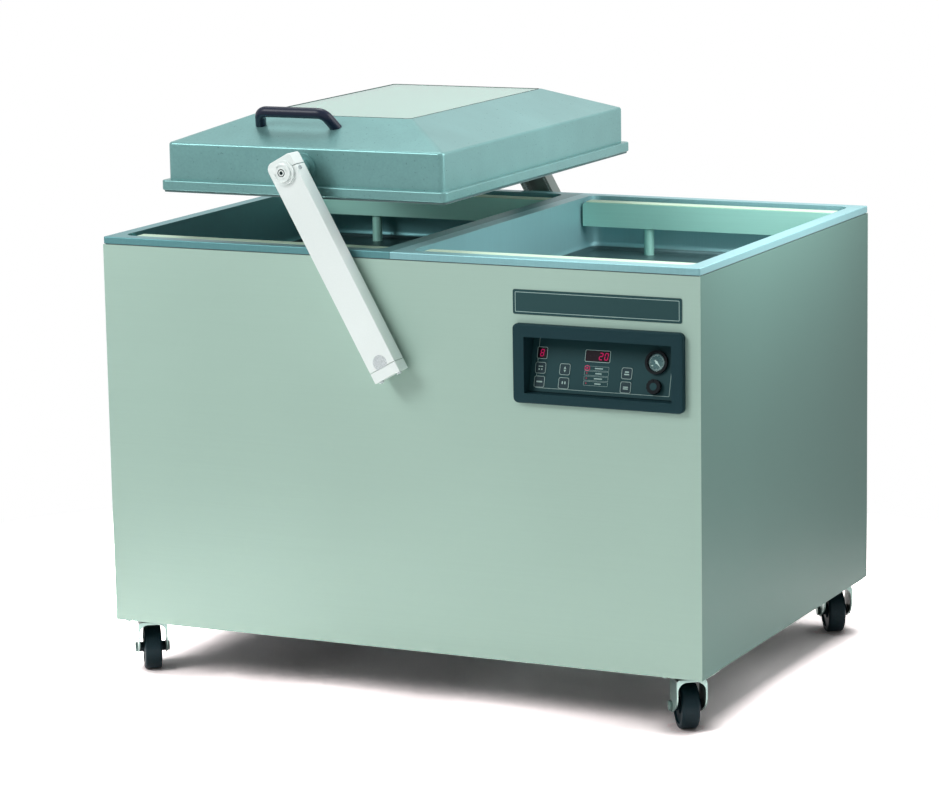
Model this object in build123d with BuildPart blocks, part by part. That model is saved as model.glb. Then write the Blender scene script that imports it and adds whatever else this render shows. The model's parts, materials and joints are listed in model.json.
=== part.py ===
from build123d import *
import os
from math import atan, cos, radians, sin, tan

# A floor-standing double-chamber vacuum packing machine. One lid hangs between two swing arms and
# serves a left and a right chamber in turn. Millimetres, +Z up, the operator stands on the -Y side.
# The origin lies on the floor, under the middle of the cabinet.

# --- Cabinet ---------------------------------------------------------------------------------------
WIDTH = 1400.0
DEPTH = 1000.0
CASTER_HEIGHT = 125.0
PANEL_HEIGHT = 840.0
SHEET = 1.5                 # stainless panels
PANEL_RETURN = 20.0         # folded edge behind the front and rear panels
PANEL_GAP = 0.5             # between a side panel and the panels it butts against
FRAME_GAP = 0.3             # between the frame and the sheet metal around it
SEAT_GAP = 0.2              # between separate pieces that are screwed together
CUTOUT_GAP = 0.6            # round the parts that pass through a panel

# --- Chambers --------------------------------------------------------------------------------------
RIM_HEIGHT = 17.0           # from the panels' top edge to the rim's top
RIM_SHEET = 2.5
RIM_SHADOW_GAP = 2.0        # dark joint between the rim's skirt and the panels
RIM_INSET = 0.5             # skirt stands this far inside the panels' outer faces
RIM_EDGE_RADIUS = 4.0
RIM_TOP_RADIUS = 2.2
RIM_WIDTH = 32.0            # flat around the opening, on the three outer sides
DIVIDER_RIM = 34.0          # flat between the opening and the seam in the middle
SEAM_GAP = 0.6
TUB_DEPTH = 125.0
TUB_RADIUS = 26.0
FLOOR_RADIUS = 18.0
TUB_WALL = 2.5

# --- Sealing bars ----------------------------------------------------------------------------------
BAR_END_GAP = 6.0           # bar to the chamber's side walls
BAR_THICKNESS = 33.0
BAR_HEIGHT = 55.5
BAR_END_RADIUS = 9.0
BAR_END_WALL = 5.0
BAR_CHANNEL_WIDTH = 25.0
BAR_CHANNEL_DEPTH = 30.0
BAR_SETBACK = 33.0          # from the chamber's end wall to the bar
BAR_BELOW_RIM = 5.0         # strip's top to the rim's top
STRIP_THICKNESS = 2.5
STRIP_MARGIN = 1.0
ROD_DIAMETER = 23.0
ROD_INSET = 159.0           # bar's end to the rod
ROD_CLEARANCE = 0.4
ROD_TAIL = 42.0             # length of rod under the chamber's floor
CYLINDER_DIAMETER = 46.0
CYLINDER_HEIGHT = 64.0

# --- Swing arms and shaft --------------------------------------------------------------------------
SHAFT_BELOW_TOP = 210.0     # under the panels' top edge
SHAFT_DIAMETER = 33.0
SHAFT_FLAT = 11.5           # flat below the shaft's centre, where the clamp cap bears
ARM_LENGTH = 448.0          # shaft to lid pivot
ARM_TILT = 29.0             # degrees from upright, towards the left chamber
ARM_WIDTH = 66.0
ARM_THICKNESS = 40.0
ARM_STANDOFF = 15.0         # from the panel to the arm's back
ARM_WALL = 5.0
ARM_TOP = 31.0              # material above the lid pivot
ARM_TOP_OUTER_RADIUS = 16.0
ARM_TOP_INNER_RADIUS = 7.0
ARM_CHAMFER = 1.0
CLAMP_BLOCK = 34.0          # solid length left at each end of the arm's channel
CHAIN_POCKET_DEPTH = 15.0
CAP_HEIGHT = 23.0
CAP_GAP = 1.2               # open joint between arm and clamp cap
SLIT_WIDTH = 2.0            # clamping slit beside the lid pivot
SLIT_DEPTH = 22.0
SLIT_ABOVE_PIVOT = 3.0
BEARING_FIT = 0.08          # radial running clearance of shaft and pivot pins
CHAIN_THICKNESS = 3.0
CHAIN_WIDTH = 7.0
CHAIN_CLEARANCE = 0.4
SPROCKET_RADIUS = 24.0
SPROCKET_TEETH = 15
SPROCKET_TOOTH = 2.0
CRANK_RADIUS = 110.0
CRANK_THICKNESS = 14.0
CRANK_HUB = 26.0            # radius of the crank round the shaft
HUB_FLANGE = 64.0           # flange of the lid's hubs
HUB_FLANGE_THICKNESS = 6.0
PIVOT_DIAMETER = 24.0
PIVOT_STUD = 20.0
PIVOT_STUD_LENGTH = 30.0
PIVOT_SIDE_GAP = 0.3
PIVOT_WASHER = 52.0
PIVOT_WASHER_THICKNESS = 6.0
PIVOT_HEAD = 40.0
PIVOT_HEAD_THICKNESS = 5.0
PIVOT_HEAD_EDGE = 1.0
PIVOT_SLOT_ANGLES = (20.0, 200.0)
PIVOT_SLOT_SWEEP = 110.0
PIVOT_SLOT_RADIUS = 14.0
PIVOT_SLOT_WIDTH = 4.0
PIVOT_RING = 17.0
PIVOT_SOCKET = 9.0

# --- Balance strut ---------------------------------------------------------------------------------
STRUT_LUG = 28.0            # height of the foot's eye above the rails
STRUT_EYE = 14.0            # radius of the lug and of the crank's tip
STRUT_PIN = 12.0
STRUT_TUBE = 28.0
STRUT_TUBE_LENGTH = 250.0
STRUT_ROD = 12.0
CLEVIS_REACH = 26.0
CLEVIS_RADIUS = 12.0
CLEVIS_CHEEK = 4.0
CLEVIS_GAP = 0.3

# --- Lid -------------------------------------------------------------------------------------------
LID_SIDE_MARGIN = 7.4       # flange to the chamber's edge, left and right
LID_END_MARGIN = 16.8       # flange to the cabinet's front and rear
LID_FLANGE_HEIGHT = 21.8
LID_FLANGE_STEP = 12.4      # flange edge to the upright wall
LID_WALL_HEIGHT = 101.6     # flange's underside to the start of the slopes
LID_HEIGHT = 154.6
LID_SIDE_SLOPE = 139.2      # run of the side slopes
LID_END_SLOPE = 138.0       # run of the front and rear slopes
LID_WALL = 5.0
LID_CORNER_RADIUS = 12.0
LID_FLANGE_EDGE = 3.0
LID_EAVES_RADIUS = 6.0
PIVOT_ABOVE_FLANGE = 59.5
WINDOW_THICKNESS = 20.0
WINDOW_LEDGE = 14.0
WINDOW_MARGIN = 4.0         # metal left around the window at the top
WINDOW_GAP = 0.3
WINDOW_CORNER_RADIUS = 8.0
GASKET_WIDTH = 9.0
GASKET_GROOVE = 6.0
GASKET_PROUD = 4.0
GASKET_EDGE = 4.0           # flange metal outside the gasket's groove
GASKET_GAP = 0.2
COUNTER_BAR_GAP = 15.2      # counter bar to the lid's side walls
COUNTER_BAR_HEIGHT = 26.0
COUNTER_BAR_RAISE = 7.0     # above the flange's underside
COUNTER_BOSS_DIAMETER = 24.0
COUNTER_BOSS_INSET = 100.0  # counter bar's end to its screw boss

# --- Handle ----------------------------------------------------------------------------------------
HANDLE_OFFSET = -58.0       # left of the lid's middle
HANDLE_UP_SLOPE = 0.662     # share of the front slope below the handle's feet
HANDLE_FEET = 182.0
HANDLE_GRIP = 154.0
HANDLE_HEIGHT = 41.3
HANDLE_LEAN = 39.8          # degrees from upright, towards the operator
HANDLE_DIAMETER = 23.5
HANDLE_BEND = 22.0

# --- Control unit, in the front panel --------------------------------------------------------------
BEZEL_SIDE_MARGIN = 33.0    # bezel to the cabinet's right-hand edge
BEZEL_BELOW_TOP = 116.0     # bezel's upper edge under the panel's
BEZEL_WIDTH = 380.0
BEZEL_HEIGHT = 166.0
BEZEL_PROUD = 14.0
BEZEL_RADIUS = 11.0
BEZEL_EDGE = 3.0
BEZEL_WALL = 3.0
RECESS_WIDTH = 329.0
RECESS_HEIGHT = 118.0
RECESS_DROP = 3.0           # recess centre below the bezel's centre
RECESS_TOP_DEPTH = 39.7     # behind the panel
RECESS_BOTTOM_DEPTH = 7.2
PLATE_THICKNESS = 3.0
PLATE_GAP = 0.3
KEY_SIZE = 24.0
KEY_THICKNESS = 2.4
KEY_PROUD = 0.7
KEY_TRAVEL = 0.5
KEY_GAP = 0.4
KEY_COLUMNS = (-141.7, -86.7, 52.2)
KEY_ROWS = (-10.2, -39.1)
KEY_CORNER = 2.0
DISPLAY_PROUD = 0.4         # display windows above the plate
DISPLAY_THICKNESS = 1.6
DISPLAY_HEIGHT = 22.3
DISPLAY_ROW = 21.1
SMALL_DISPLAY = (-141.0, 20.5)   # centre and width
LARGE_DISPLAY = (-16.0, 54.0)
GAUGE_DIAMETER = 49.0
GAUGE_PLACE = (116.5, 16.1)
GAUGE_PROUD = 7.0
GAUGE_RING = 5.0
GAUGE_BODY = 40.0
GAUGE_BODY_DEPTH = 26.0
GAUGE_LIP = 0.6             # ring above the lens
GAUGE_STEP = 1.5            # ledge under the lens
LENS_THICKNESS = 1.6
DIAL_SEAT = 1.0
DIAL_THICKNESS = 0.8
NEEDLE_LIFT = 0.5
NEEDLE_THICKNESS = 0.8
NEEDLE_HUB = 6.0
NEEDLE_TIP = 0.6
NEEDLE_REACH = 14.0
NEEDLE_REST = -45.0         # degrees above the dial's left, at rest
NEEDLE_PIN = 3.0
NEEDLE_DEPTH = 6.0
KNOB_DIAMETER = 31.0
KNOB_PLACE = (116.5, -34.0)
KNOB_HEIGHT = 9.0
KNOB_SHAFT = 8.0
KNOB_SHAFT_LENGTH = 16.0
KNOB_GAP = 0.4
KNOB_SCALLOP = 2.0
KNOB_SCALLOPS = 12
KNOB_POINTER_DEPTH = 0.8
BADGE_BELOW_TOP = 46.4      # plate's upper edge under the panel's
BADGE_OFFSET = -4.8         # from the bezel's middle
BADGE_WIDTH = 376.5
BADGE_HEIGHT = 51.5
BADGE_THICKNESS = 1.5
BADGE_RADIUS = 4.0

# --- Frame and machinery inside --------------------------------------------------------------------
RAIL_WIDTH = 60.0
RAIL_HEIGHT = 40.0
RAIL_WALL = 3.0
POST = 20.0
COLUMN_WIDTH = 84.0
PUMP_RAIL_SPACING = 200.0
CROSS_RAIL_WIDTH = 60.0
CENTRE_RAIL_WIDTH = 40.0
CENTRE_RAIL_HEIGHT = 30.0
BEARING_FLANGE = 74.0
BEARING_FLANGE_THICKNESS = 12.0
BEARING_NOSE = 42.0
PUMP_INSET = 240.0          # pump's middle to the cabinet's left-hand edge
PUMP_LENGTH = 320.0
PUMP_WIDTH = 300.0
PUMP_HEIGHT = 270.0
PUMP_CORNER = 30.0
PUMP_RIBS = 5
PUMP_RIB_DEPTH = 24.0
MOTOR_DIAMETER = 200.0
MOTOR_LENGTH = 240.0
MOTOR_FINS = 12
MOTOR_FIN_HEIGHT = 10.0
MOTOR_FIN_WIDTH = 4.0
PIPE_DIAMETER = 50.0
PIPE_RUN_INSET = 300.0      # to the cabinet's rear
PIPE_RUN_DROP = 80.0        # branch under the valves
PIPE_BEND = 60.0
PORT_DIAMETER = 42.0
PORT_WALL = 4.0
VALVE_SIZE = 90.0
VALVE_HEIGHT = 80.0
VALVE_BELOW_FLOOR = 77.0    # valve block's top under the chamber's floor
GLAND_INSET = 220.0         # to the cabinet's right-hand edge
GLAND_Z = 260.0
GLAND_BORE = 13.0
GLAND_NUT = 36.0
GLAND_NECK = 24.0
GLAND_LENGTH = 28.0
BOX_SIZE = (300.0, 220.0, 100.0)    # electrics box: width, height, depth
BOX_BELOW_BEZEL = 226.0     # between their middles
VENT_SLOTS = 7
VENT_LENGTH = 170.0
VENT_WIDTH = 9.0
VENT_PITCH = 24.0
VENT_INSET = 370.0          # to the cabinet's left-hand edge
VENT_Z = 330.0

# --- Casters ---------------------------------------------------------------------------------------
CASTER_SIDE_INSET = 55.0    # kingpin to the cabinet's side
CASTER_END_INSET = 60.0     # kingpin to the cabinet's front or rear
CASTER_TURNS = {"front_left": 34.0, "front_right": 35.0, "rear_left": 34.0, "rear_right": 33.0}
CASTER_PLATE = (105.0, 85.0, 3.0)
CASTER_BOLTS = (80.0, 60.0, 9.0)    # hole spacing along X and Y, hole diameter
WHEEL_DIAMETER = 100.0
WHEEL_WIDTH = 39.0
WHEEL_ROUND = 6.0           # tread's edges
WHEEL_TREAD = 11.0
WHEEL_HUB = 36.0
WHEEL_DISH = 4.0
HUB_SLEEVE = 22.0
HUB_GAP = 0.5               # sleeve to fork cheek
TRAIL = 20.0
FORK_SHEET = 3.0
FORK_GAP = 10.0             # wheel's tread to fork cheek
FORK_LENGTH = 66.0          # crown, along the wheel's track
FORK_CHEEK = 34.0           # radius of the cheeks' rounded middle
FORK_BOSS = 15.0
FORK_EDGE = 8.0             # rounding between crown and cheeks
FORK_APRON = 2.5            # front wall above the arched mouth
FORK_ARCH = 20.0
AXLE_DIAMETER = 12.0
AXLE_NUT = 20.0
AXLE_NUT_HEIGHT = 6.0
KINGPIN_DIAMETER = 14.0
KINGPIN_HEAD = 18.0
KINGPIN_HEAD_HEIGHT = 3.0
RACE_DIAMETER = 58.0
RACE_HEIGHT = 5.0
SWIVEL_GAP = 0.4

# --- Places that follow from the sizes above -------------------------------------------------------
PANEL_TOP = CASTER_HEIGHT + PANEL_HEIGHT
PANEL_MIDDLE = CASTER_HEIGHT + PANEL_HEIGHT / 2
RIM_TOP = PANEL_TOP + RIM_HEIGHT
FLOOR_Z = RIM_TOP - TUB_DEPTH
OPENING_WIDTH = WIDTH / 2 - RIM_WIDTH - DIVIDER_RIM
OPENING_DEPTH = DEPTH - 2 * RIM_WIDTH
CHAMBER_X = DIVIDER_RIM + OPENING_WIDTH / 2
BAR_Y = OPENING_DEPTH / 2 - BAR_SETBACK - BAR_THICKNESS / 2
BAR_LENGTH = OPENING_WIDTH - 2 * BAR_END_GAP
ROD_SPACING = BAR_LENGTH - 2 * ROD_INSET
STRIP_TOP = RIM_TOP - BAR_BELOW_RIM
BAR_TOP = STRIP_TOP - STRIP_THICKNESS
BAR_BOTTOM = BAR_TOP - BAR_HEIGHT
SHAFT_HEIGHT = PANEL_TOP - SHAFT_BELOW_TOP
PIVOT_X = -ARM_LENGTH * sin(radians(ARM_TILT))
PIVOT_Z = SHAFT_HEIGHT + ARM_LENGTH * cos(radians(ARM_TILT))
LID_BOTTOM = PIVOT_Z - PIVOT_ABOVE_FLANGE
LID_WIDTH = WIDTH / 2 - 2 * LID_SIDE_MARGIN
LID_DEPTH = DEPTH - 2 * LID_END_MARGIN
LID_WALL_WIDTH = LID_WIDTH - 2 * LID_FLANGE_STEP
LID_WALL_DEPTH = LID_DEPTH - 2 * LID_FLANGE_STEP
LID_TOP_WIDTH = LID_WALL_WIDTH - 2 * LID_SIDE_SLOPE
LID_TOP_DEPTH = LID_WALL_DEPTH - 2 * LID_END_SLOPE
COUNTER_BAR_LENGTH = LID_WALL_WIDTH - 2 * (LID_WALL + COUNTER_BAR_GAP)
COUNTER_BOSS_SPACING = COUNTER_BAR_LENGTH - 2 * COUNTER_BOSS_INSET
ARM_BACK = DEPTH / 2 + ARM_STANDOFF
ARM_FACE = ARM_BACK + ARM_THICKNESS
FRAME_X = WIDTH / 2 - 2 * SHEET - PANEL_GAP - FRAME_GAP
FRAME_Y = DEPTH / 2 - RIM_INSET - RIM_SHEET - FRAME_GAP
RIM_UNDERSIDE = RIM_TOP - RIM_SHEET
BEZEL_X = WIDTH / 2 - BEZEL_SIDE_MARGIN - BEZEL_WIDTH / 2
BEZEL_Z = PANEL_TOP - BEZEL_BELOW_TOP - BEZEL_HEIGHT / 2
BADGE_X = BEZEL_X + BADGE_OFFSET
BADGE_Z = PANEL_TOP - BADGE_BELOW_TOP - BADGE_HEIGHT / 2
PUMP_X = PUMP_INSET - WIDTH / 2
PIPE_RUN_Y = DEPTH / 2 - PIPE_RUN_INSET
GLAND_X = WIDTH / 2 - GLAND_INSET
BOX_Z = BEZEL_Z - BOX_BELOW_BEZEL
CASTER_X = WIDTH / 2 - CASTER_SIDE_INSET
CASTER_Y = DEPTH / 2 - CASTER_END_INSET

FRONT = Plane(origin=(0, -DEPTH / 2, 0), x_dir=(1, 0, 0), z_dir=(0, -1, 0))
REAR = Plane(origin=(0, DEPTH / 2, 0), x_dir=(-1, 0, 0), z_dir=(0, 1, 0))
LEFT = Plane(origin=(-WIDTH / 2, 0, 0), x_dir=(0, -1, 0), z_dir=(-1, 0, 0))
RIGHT = Plane(origin=(WIDTH / 2, 0, 0), x_dir=(0, 1, 0), z_dir=(1, 0, 0))


# === Cabinet panels ================================================================================
def sheet_panel(face, width, folded):
    """A flat sheet panel. A folded one has its upright edges turned in behind its neighbours."""
    with BuildPart() as panel:
        with BuildSketch(face):
            with Locations((0, PANEL_MIDDLE)):
                Rectangle(width, PANEL_HEIGHT)
        extrude(amount=-SHEET)
        if folded:
            fold = width / 2 - SHEET - PANEL_GAP - SHEET / 2
            with BuildSketch(face.offset(-SHEET)):
                with Locations((-fold, PANEL_MIDDLE), (fold, PANEL_MIDDLE)):
                    Rectangle(SHEET, PANEL_HEIGHT)
            extrude(amount=-PANEL_RETURN)
    return panel


TUB_FRAME_WIDTH = RECESS_WIDTH + 2 * BEZEL_WALL
TUB_FRAME_HEIGHT = RECESS_HEIGHT + 2 * BEZEL_WALL
RECESS_Z = BEZEL_Z - RECESS_DROP

with BuildPart() as front_panel:
    add(sheet_panel(FRONT, WIDTH, True).part)
    with BuildSketch(FRONT):
        with Locations((BEZEL_X, RECESS_Z)):
            Rectangle(TUB_FRAME_WIDTH + 2 * CUTOUT_GAP, TUB_FRAME_HEIGHT + 2 * CUTOUT_GAP)
        with Locations((0, SHAFT_HEIGHT)):
            Circle(BEARING_NOSE / 2 + CUTOUT_GAP)
    extrude(amount=-SHEET, mode=Mode.SUBTRACT)

with BuildPart() as rear_panel:
    add(sheet_panel(REAR, WIDTH, True).part)
    with BuildSketch(REAR):
        with Locations((0, SHAFT_HEIGHT)):
            Circle(BEARING_NOSE / 2 + CUTOUT_GAP)
        with Locations((-GLAND_X, GLAND_Z)):
            Circle(GLAND_NECK / 2 + SEAT_GAP)
        with Locations((WIDTH / 2 - VENT_INSET, VENT_Z)):
            with GridLocations(VENT_LENGTH + VENT_PITCH, VENT_PITCH, 2, VENT_SLOTS):
                SlotOverall(VENT_LENGTH, VENT_WIDTH)
    extrude(amount=-SHEET, mode=Mode.SUBTRACT)

SIDE_WIDTH = DEPTH - 2 * SHEET - 2 * PANEL_GAP
left_panel = sheet_panel(LEFT, SIDE_WIDTH, False)
right_panel = sheet_panel(RIGHT, SIDE_WIDTH, False)

# === Welded frame ==================================================================================
RAIL_TOP = CASTER_HEIGHT + RAIL_HEIGHT
COLUMN_FACE = FRAME_Y - RAIL_WALL   # inner face of the shaft columns' webs

with BuildPart() as chassis_frame:
    # base rails: channels, open to the inside
    with BuildSketch(Plane.XY.offset(CASTER_HEIGHT)):
        Rectangle(2 * FRAME_X, 2 * FRAME_Y)
        Rectangle(2 * (FRAME_X - RAIL_WIDTH), 2 * (FRAME_Y - RAIL_WIDTH), mode=Mode.SUBTRACT)
    extrude(amount=RAIL_HEIGHT)
    with BuildSketch(Plane.XY.offset(CASTER_HEIGHT + RAIL_WALL)):
        Rectangle(2 * (FRAME_X - RAIL_WALL), 2 * (FRAME_Y - RAIL_WALL))
    extrude(amount=RAIL_HEIGHT - 2 * RAIL_WALL, mode=Mode.SUBTRACT)
    # cross rails under the pump and the balance strut
    cross_rails = (PUMP_X - PUMP_RAIL_SPACING / 2, PUMP_X + PUMP_RAIL_SPACING / 2, 0)
    with BuildSketch(Plane.XY.offset(RAIL_TOP)):
        with Locations(*[(x, 0) for x in cross_rails]):
            Rectangle(CROSS_RAIL_WIDTH, 2 * (FRAME_Y - RAIL_WALL))
    extrude(amount=-2 * RAIL_WALL)
    # corner posts and the top rails that carry the chambers' rims
    with BuildSketch(Plane.XY.offset(RAIL_TOP)):
        with GridLocations(2 * FRAME_X - POST, 2 * FRAME_Y - POST, 2, 2):
            Rectangle(POST, POST)
    extrude(amount=RIM_UNDERSIDE - RAIL_TOP)
    with BuildSketch(Plane.XY.offset(RIM_UNDERSIDE)):
        Rectangle(2 * FRAME_X, 2 * FRAME_Y)
        Rectangle(2 * (FRAME_X - POST), 2 * (FRAME_Y - POST), mode=Mode.SUBTRACT)
    extrude(amount=-POST)
    with BuildSketch(Plane.XY.offset(RIM_UNDERSIDE)):
        Rectangle(CENTRE_RAIL_WIDTH, 2 * FRAME_Y)
    extrude(amount=-CENTRE_RAIL_HEIGHT)
    # channel columns behind the front and rear panels, which hold the shaft's bearings
    with BuildSketch(Plane.XY.offset(RAIL_TOP)):
        for side in (-1, 1):
            with Locations((0, side * (FRAME_Y - POST / 2))):
                Rectangle(COLUMN_WIDTH, POST)
            with Locations((0, side * (COLUMN_FACE - POST / 2))):
                Rectangle(COLUMN_WIDTH - 2 * RAIL_WALL, POST, mode=Mode.SUBTRACT)
    extrude(amount=RIM_UNDERSIDE - POST - RAIL_TOP)
    with BuildSketch(Plane.XZ.offset(DEPTH / 2)):
        with Locations((0, SHAFT_HEIGHT)):
            Circle(BEARING_NOSE / 2 + CUTOUT_GAP)
    extrude(amount=-DEPTH, mode=Mode.SUBTRACT)
    # lug for the foot of the balance strut
    with BuildSketch(Plane.XZ.offset(CRANK_THICKNESS / 2)):
        with Locations((0, RAIL_TOP + STRUT_LUG)):
            Circle(STRUT_EYE)
        with Locations((0, RAIL_TOP + STRUT_LUG / 2)):
            Rectangle(2 * STRUT_EYE, STRUT_LUG)
        with Locations((0, RAIL_TOP + STRUT_LUG)):
            Circle(STRUT_PIN / 2 + SEAT_GAP, mode=Mode.SUBTRACT)
    extrude(amount=-CRANK_THICKNESS)

# === Chambers ======================================================================================
RIM_PLATE_WIDTH = WIDTH / 2 - RIM_INSET - SEAM_GAP / 2
RIM_PLATE_X = -(SEAM_GAP + RIM_PLATE_WIDTH) / 2
RIM_PLATE_DEPTH = DEPTH - 2 * RIM_INSET
ROD_COLUMNS = (-CHAMBER_X - ROD_SPACING / 2, -CHAMBER_X + ROD_SPACING / 2)
ROD_PLACES = [(x, y) for x in ROD_COLUMNS for y in (-BAR_Y, BAR_Y)]

with BuildPart() as tub_void:
    with BuildSketch(Plane.XY.offset(FLOOR_Z)):
        with Locations((-CHAMBER_X, 0)):
            RectangleRounded(OPENING_WIDTH, OPENING_DEPTH, TUB_RADIUS)
    extrude(amount=TUB_DEPTH)
    fillet(tub_void.faces().sort_by(Axis.Z)[0].edges(), FLOOR_RADIUS)

with BuildPart() as left_chamber:
    with BuildSketch(Plane.XY.offset(RIM_TOP)):
        with Locations((RIM_PLATE_X, 0)):
            Rectangle(RIM_PLATE_WIDTH, RIM_PLATE_DEPTH)
    extrude(amount=-(RIM_HEIGHT - RIM_SHADOW_GAP))
    fillet(left_chamber.edges().filter_by(Axis.Z).group_by(Axis.X)[0], RIM_EDGE_RADIUS)
    fillet(left_chamber.faces().sort_by(Axis.Z)[-1].edges().sort_by(Axis.X)[:-1], RIM_TOP_RADIUS)
    # hollow under the rim, open along the seam between the chambers
    with BuildSketch(Plane.XY.offset(RIM_UNDERSIDE)):
        with Locations((RIM_PLATE_X + RIM_SHEET / 2, 0)):
            Rectangle(RIM_PLATE_WIDTH - RIM_SHEET, RIM_PLATE_DEPTH - 2 * RIM_SHEET)
    extrude(amount=-RIM_HEIGHT, mode=Mode.SUBTRACT)
    # deep-drawn tub
    with BuildSketch(Plane.XY.offset(RIM_UNDERSIDE)):
        with Locations((-CHAMBER_X, 0)):
            RectangleRounded(OPENING_WIDTH + 2 * TUB_WALL, OPENING_DEPTH + 2 * TUB_WALL, TUB_RADIUS + TUB_WALL)
    extrude(amount=-(RIM_UNDERSIDE - FLOOR_Z + TUB_WALL))
    fillet(left_chamber.faces().sort_by(Axis.Z)[0].edges(), FLOOR_RADIUS + TUB_WALL)
    add(tub_void.part, mode=Mode.SUBTRACT)
    # holes for the lifting rods and the suction port
    with BuildSketch(Plane.XY.offset(FLOOR_Z)):
        with Locations(*ROD_PLACES):
            Circle(ROD_DIAMETER / 2 + ROD_CLEARANCE)
        with Locations((-CHAMBER_X, PIPE_RUN_Y)):
            Circle(PORT_DIAMETER / 2)
    extrude(amount=-2 * TUB_WALL, mode=Mode.SUBTRACT)

with BuildPart() as right_chamber:
    mirror(left_chamber.part, about=Plane.YZ)

with BuildPart() as lift_cylinders:
    with BuildSketch(Plane.XY.offset(FLOOR_Z - TUB_WALL)):
        with Locations(*ROD_PLACES, *[(-x, y) for x, y in ROD_PLACES]):
            Circle(CYLINDER_DIAMETER / 2)
            Circle(ROD_DIAMETER / 2 + ROD_CLEARANCE, mode=Mode.SUBTRACT)
    extrude(amount=-CYLINDER_HEIGHT)


# === Sealing bars ==================================================================================
def sealing_bar(side, end):
    """A sealing bar and its two lifting rods: side -1 is left, 1 right; end -1 is front, 1 rear."""
    middle = (side * CHAMBER_X, end * BAR_Y)
    front_face = Plane(
        origin=(middle[0], middle[1] - BAR_THICKNESS / 2, BAR_BOTTOM), x_dir=(1, 0, 0), z_dir=(0, -1, 0)
    )
    with BuildPart() as bar:
        with BuildSketch(front_face) as outline:
            with Locations((0, BAR_HEIGHT / 2)):
                Rectangle(BAR_LENGTH, BAR_HEIGHT)
            fillet(outline.vertices().group_by(Axis.Y)[-1], BAR_END_RADIUS)
        extrude(amount=-BAR_THICKNESS)
        with BuildSketch(Plane.XY.offset(BAR_BOTTOM)):
            with Locations(middle):
                Rectangle(BAR_LENGTH - 2 * BAR_END_WALL, BAR_CHANNEL_WIDTH)
        extrude(amount=BAR_CHANNEL_DEPTH, mode=Mode.SUBTRACT)
        rod_top = BAR_BOTTOM + BAR_CHANNEL_DEPTH - SEAT_GAP
        with BuildSketch(Plane.XY.offset(rod_top)):
            with Locations(middle):
                with GridLocations(ROD_SPACING, 0, 2, 1):
                    Circle(ROD_DIAMETER / 2)
        extrude(amount=-(rod_top - FLOOR_Z + ROD_TAIL))
    return bar


def sealing_strip(side, end):
    """Cream cover strip over the heating wire, along the top of a sealing bar."""
    with BuildPart() as strip:
        with BuildSketch(Plane.XY.offset(BAR_TOP)):
            with Locations((side * CHAMBER_X, end * BAR_Y)):
                Rectangle(BAR_LENGTH - 2 * BAR_END_RADIUS, BAR_THICKNESS - 2 * STRIP_MARGIN)
        extrude(amount=STRIP_THICKNESS)
        fillet(strip.edges().filter_by(Axis.X).group_by(Axis.Z)[-1], STRIP_THICKNESS * 0.6)
    return strip


# === Swing arms ====================================================================================
TILT = radians(ARM_TILT)
ARM_PLANE = Plane(
    origin=(0, -ARM_FACE, SHAFT_HEIGHT), x_dir=(cos(TILT), 0, sin(TILT)), z_dir=(0, -1, 0)
)
BLOCK_DEPTH = ARM_THICKNESS - CHAIN_POCKET_DEPTH
CHAIN_INNER = SPROCKET_RADIUS + CHAIN_CLEARANCE
CHAIN_POCKET = CHAIN_INNER + CHAIN_THICKNESS + CHAIN_CLEARANCE
CHAIN_Y = ARM_BACK + CHAIN_POCKET_DEPTH / 2
ARM_FOOT = CAP_GAP - SHAFT_FLAT

with BuildPart() as front_arm:
    with BuildSketch(ARM_PLANE) as outline:
        with Locations((0, (ARM_LENGTH + ARM_TOP + ARM_FOOT) / 2)):
            Rectangle(ARM_WIDTH, ARM_LENGTH + ARM_TOP - ARM_FOOT)
        fillet(outline.vertices().group_by(Axis.Y)[-1].sort_by(Axis.X)[0], ARM_TOP_OUTER_RADIUS)
        fillet(outline.vertices().group_by(Axis.Y)[-1].sort_by(Axis.X)[-1], ARM_TOP_INNER_RADIUS)
    extrude(amount=-ARM_THICKNESS)
    chamfer(front_arm.faces().sort_by(Axis.Y)[0].edges(), ARM_CHAMFER)
    # pocket for the levelling chain, then the deep channel between the two clamp blocks
    with BuildSketch(ARM_PLANE.offset(-ARM_THICKNESS)):
        with Locations((0, ARM_LENGTH / 2)):
            SlotCenterToCenter(ARM_LENGTH, 2 * CHAIN_POCKET, rotation=90)
    extrude(amount=CHAIN_POCKET_DEPTH, mode=Mode.SUBTRACT)
    with BuildSketch(ARM_PLANE.offset(-ARM_THICKNESS)):
        with Locations((0, ARM_LENGTH / 2)):
            RectangleRounded(2 * CHAIN_POCKET, ARM_LENGTH - 2 * CLAMP_BLOCK, ARM_WALL)
    extrude(amount=ARM_THICKNESS - ARM_WALL, mode=Mode.SUBTRACT)
    # seat of the shaft, bore of the lid's pivot and the clamping slit
    with BuildSketch(ARM_PLANE):
        Circle(SHAFT_DIAMETER / 2 + SEAT_GAP)
        with Locations((0, ARM_LENGTH)):
            Circle(PIVOT_DIAMETER / 2 + BEARING_FIT)
        with Locations((ARM_WIDTH / 2, ARM_LENGTH + SLIT_ABOVE_PIVOT)):
            Rectangle(2 * SLIT_DEPTH, SLIT_WIDTH)
    extrude(amount=-ARM_THICKNESS, mode=Mode.SUBTRACT)

with BuildPart() as rear_arm:
    mirror(front_arm.part, about=Plane.XZ)

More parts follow.
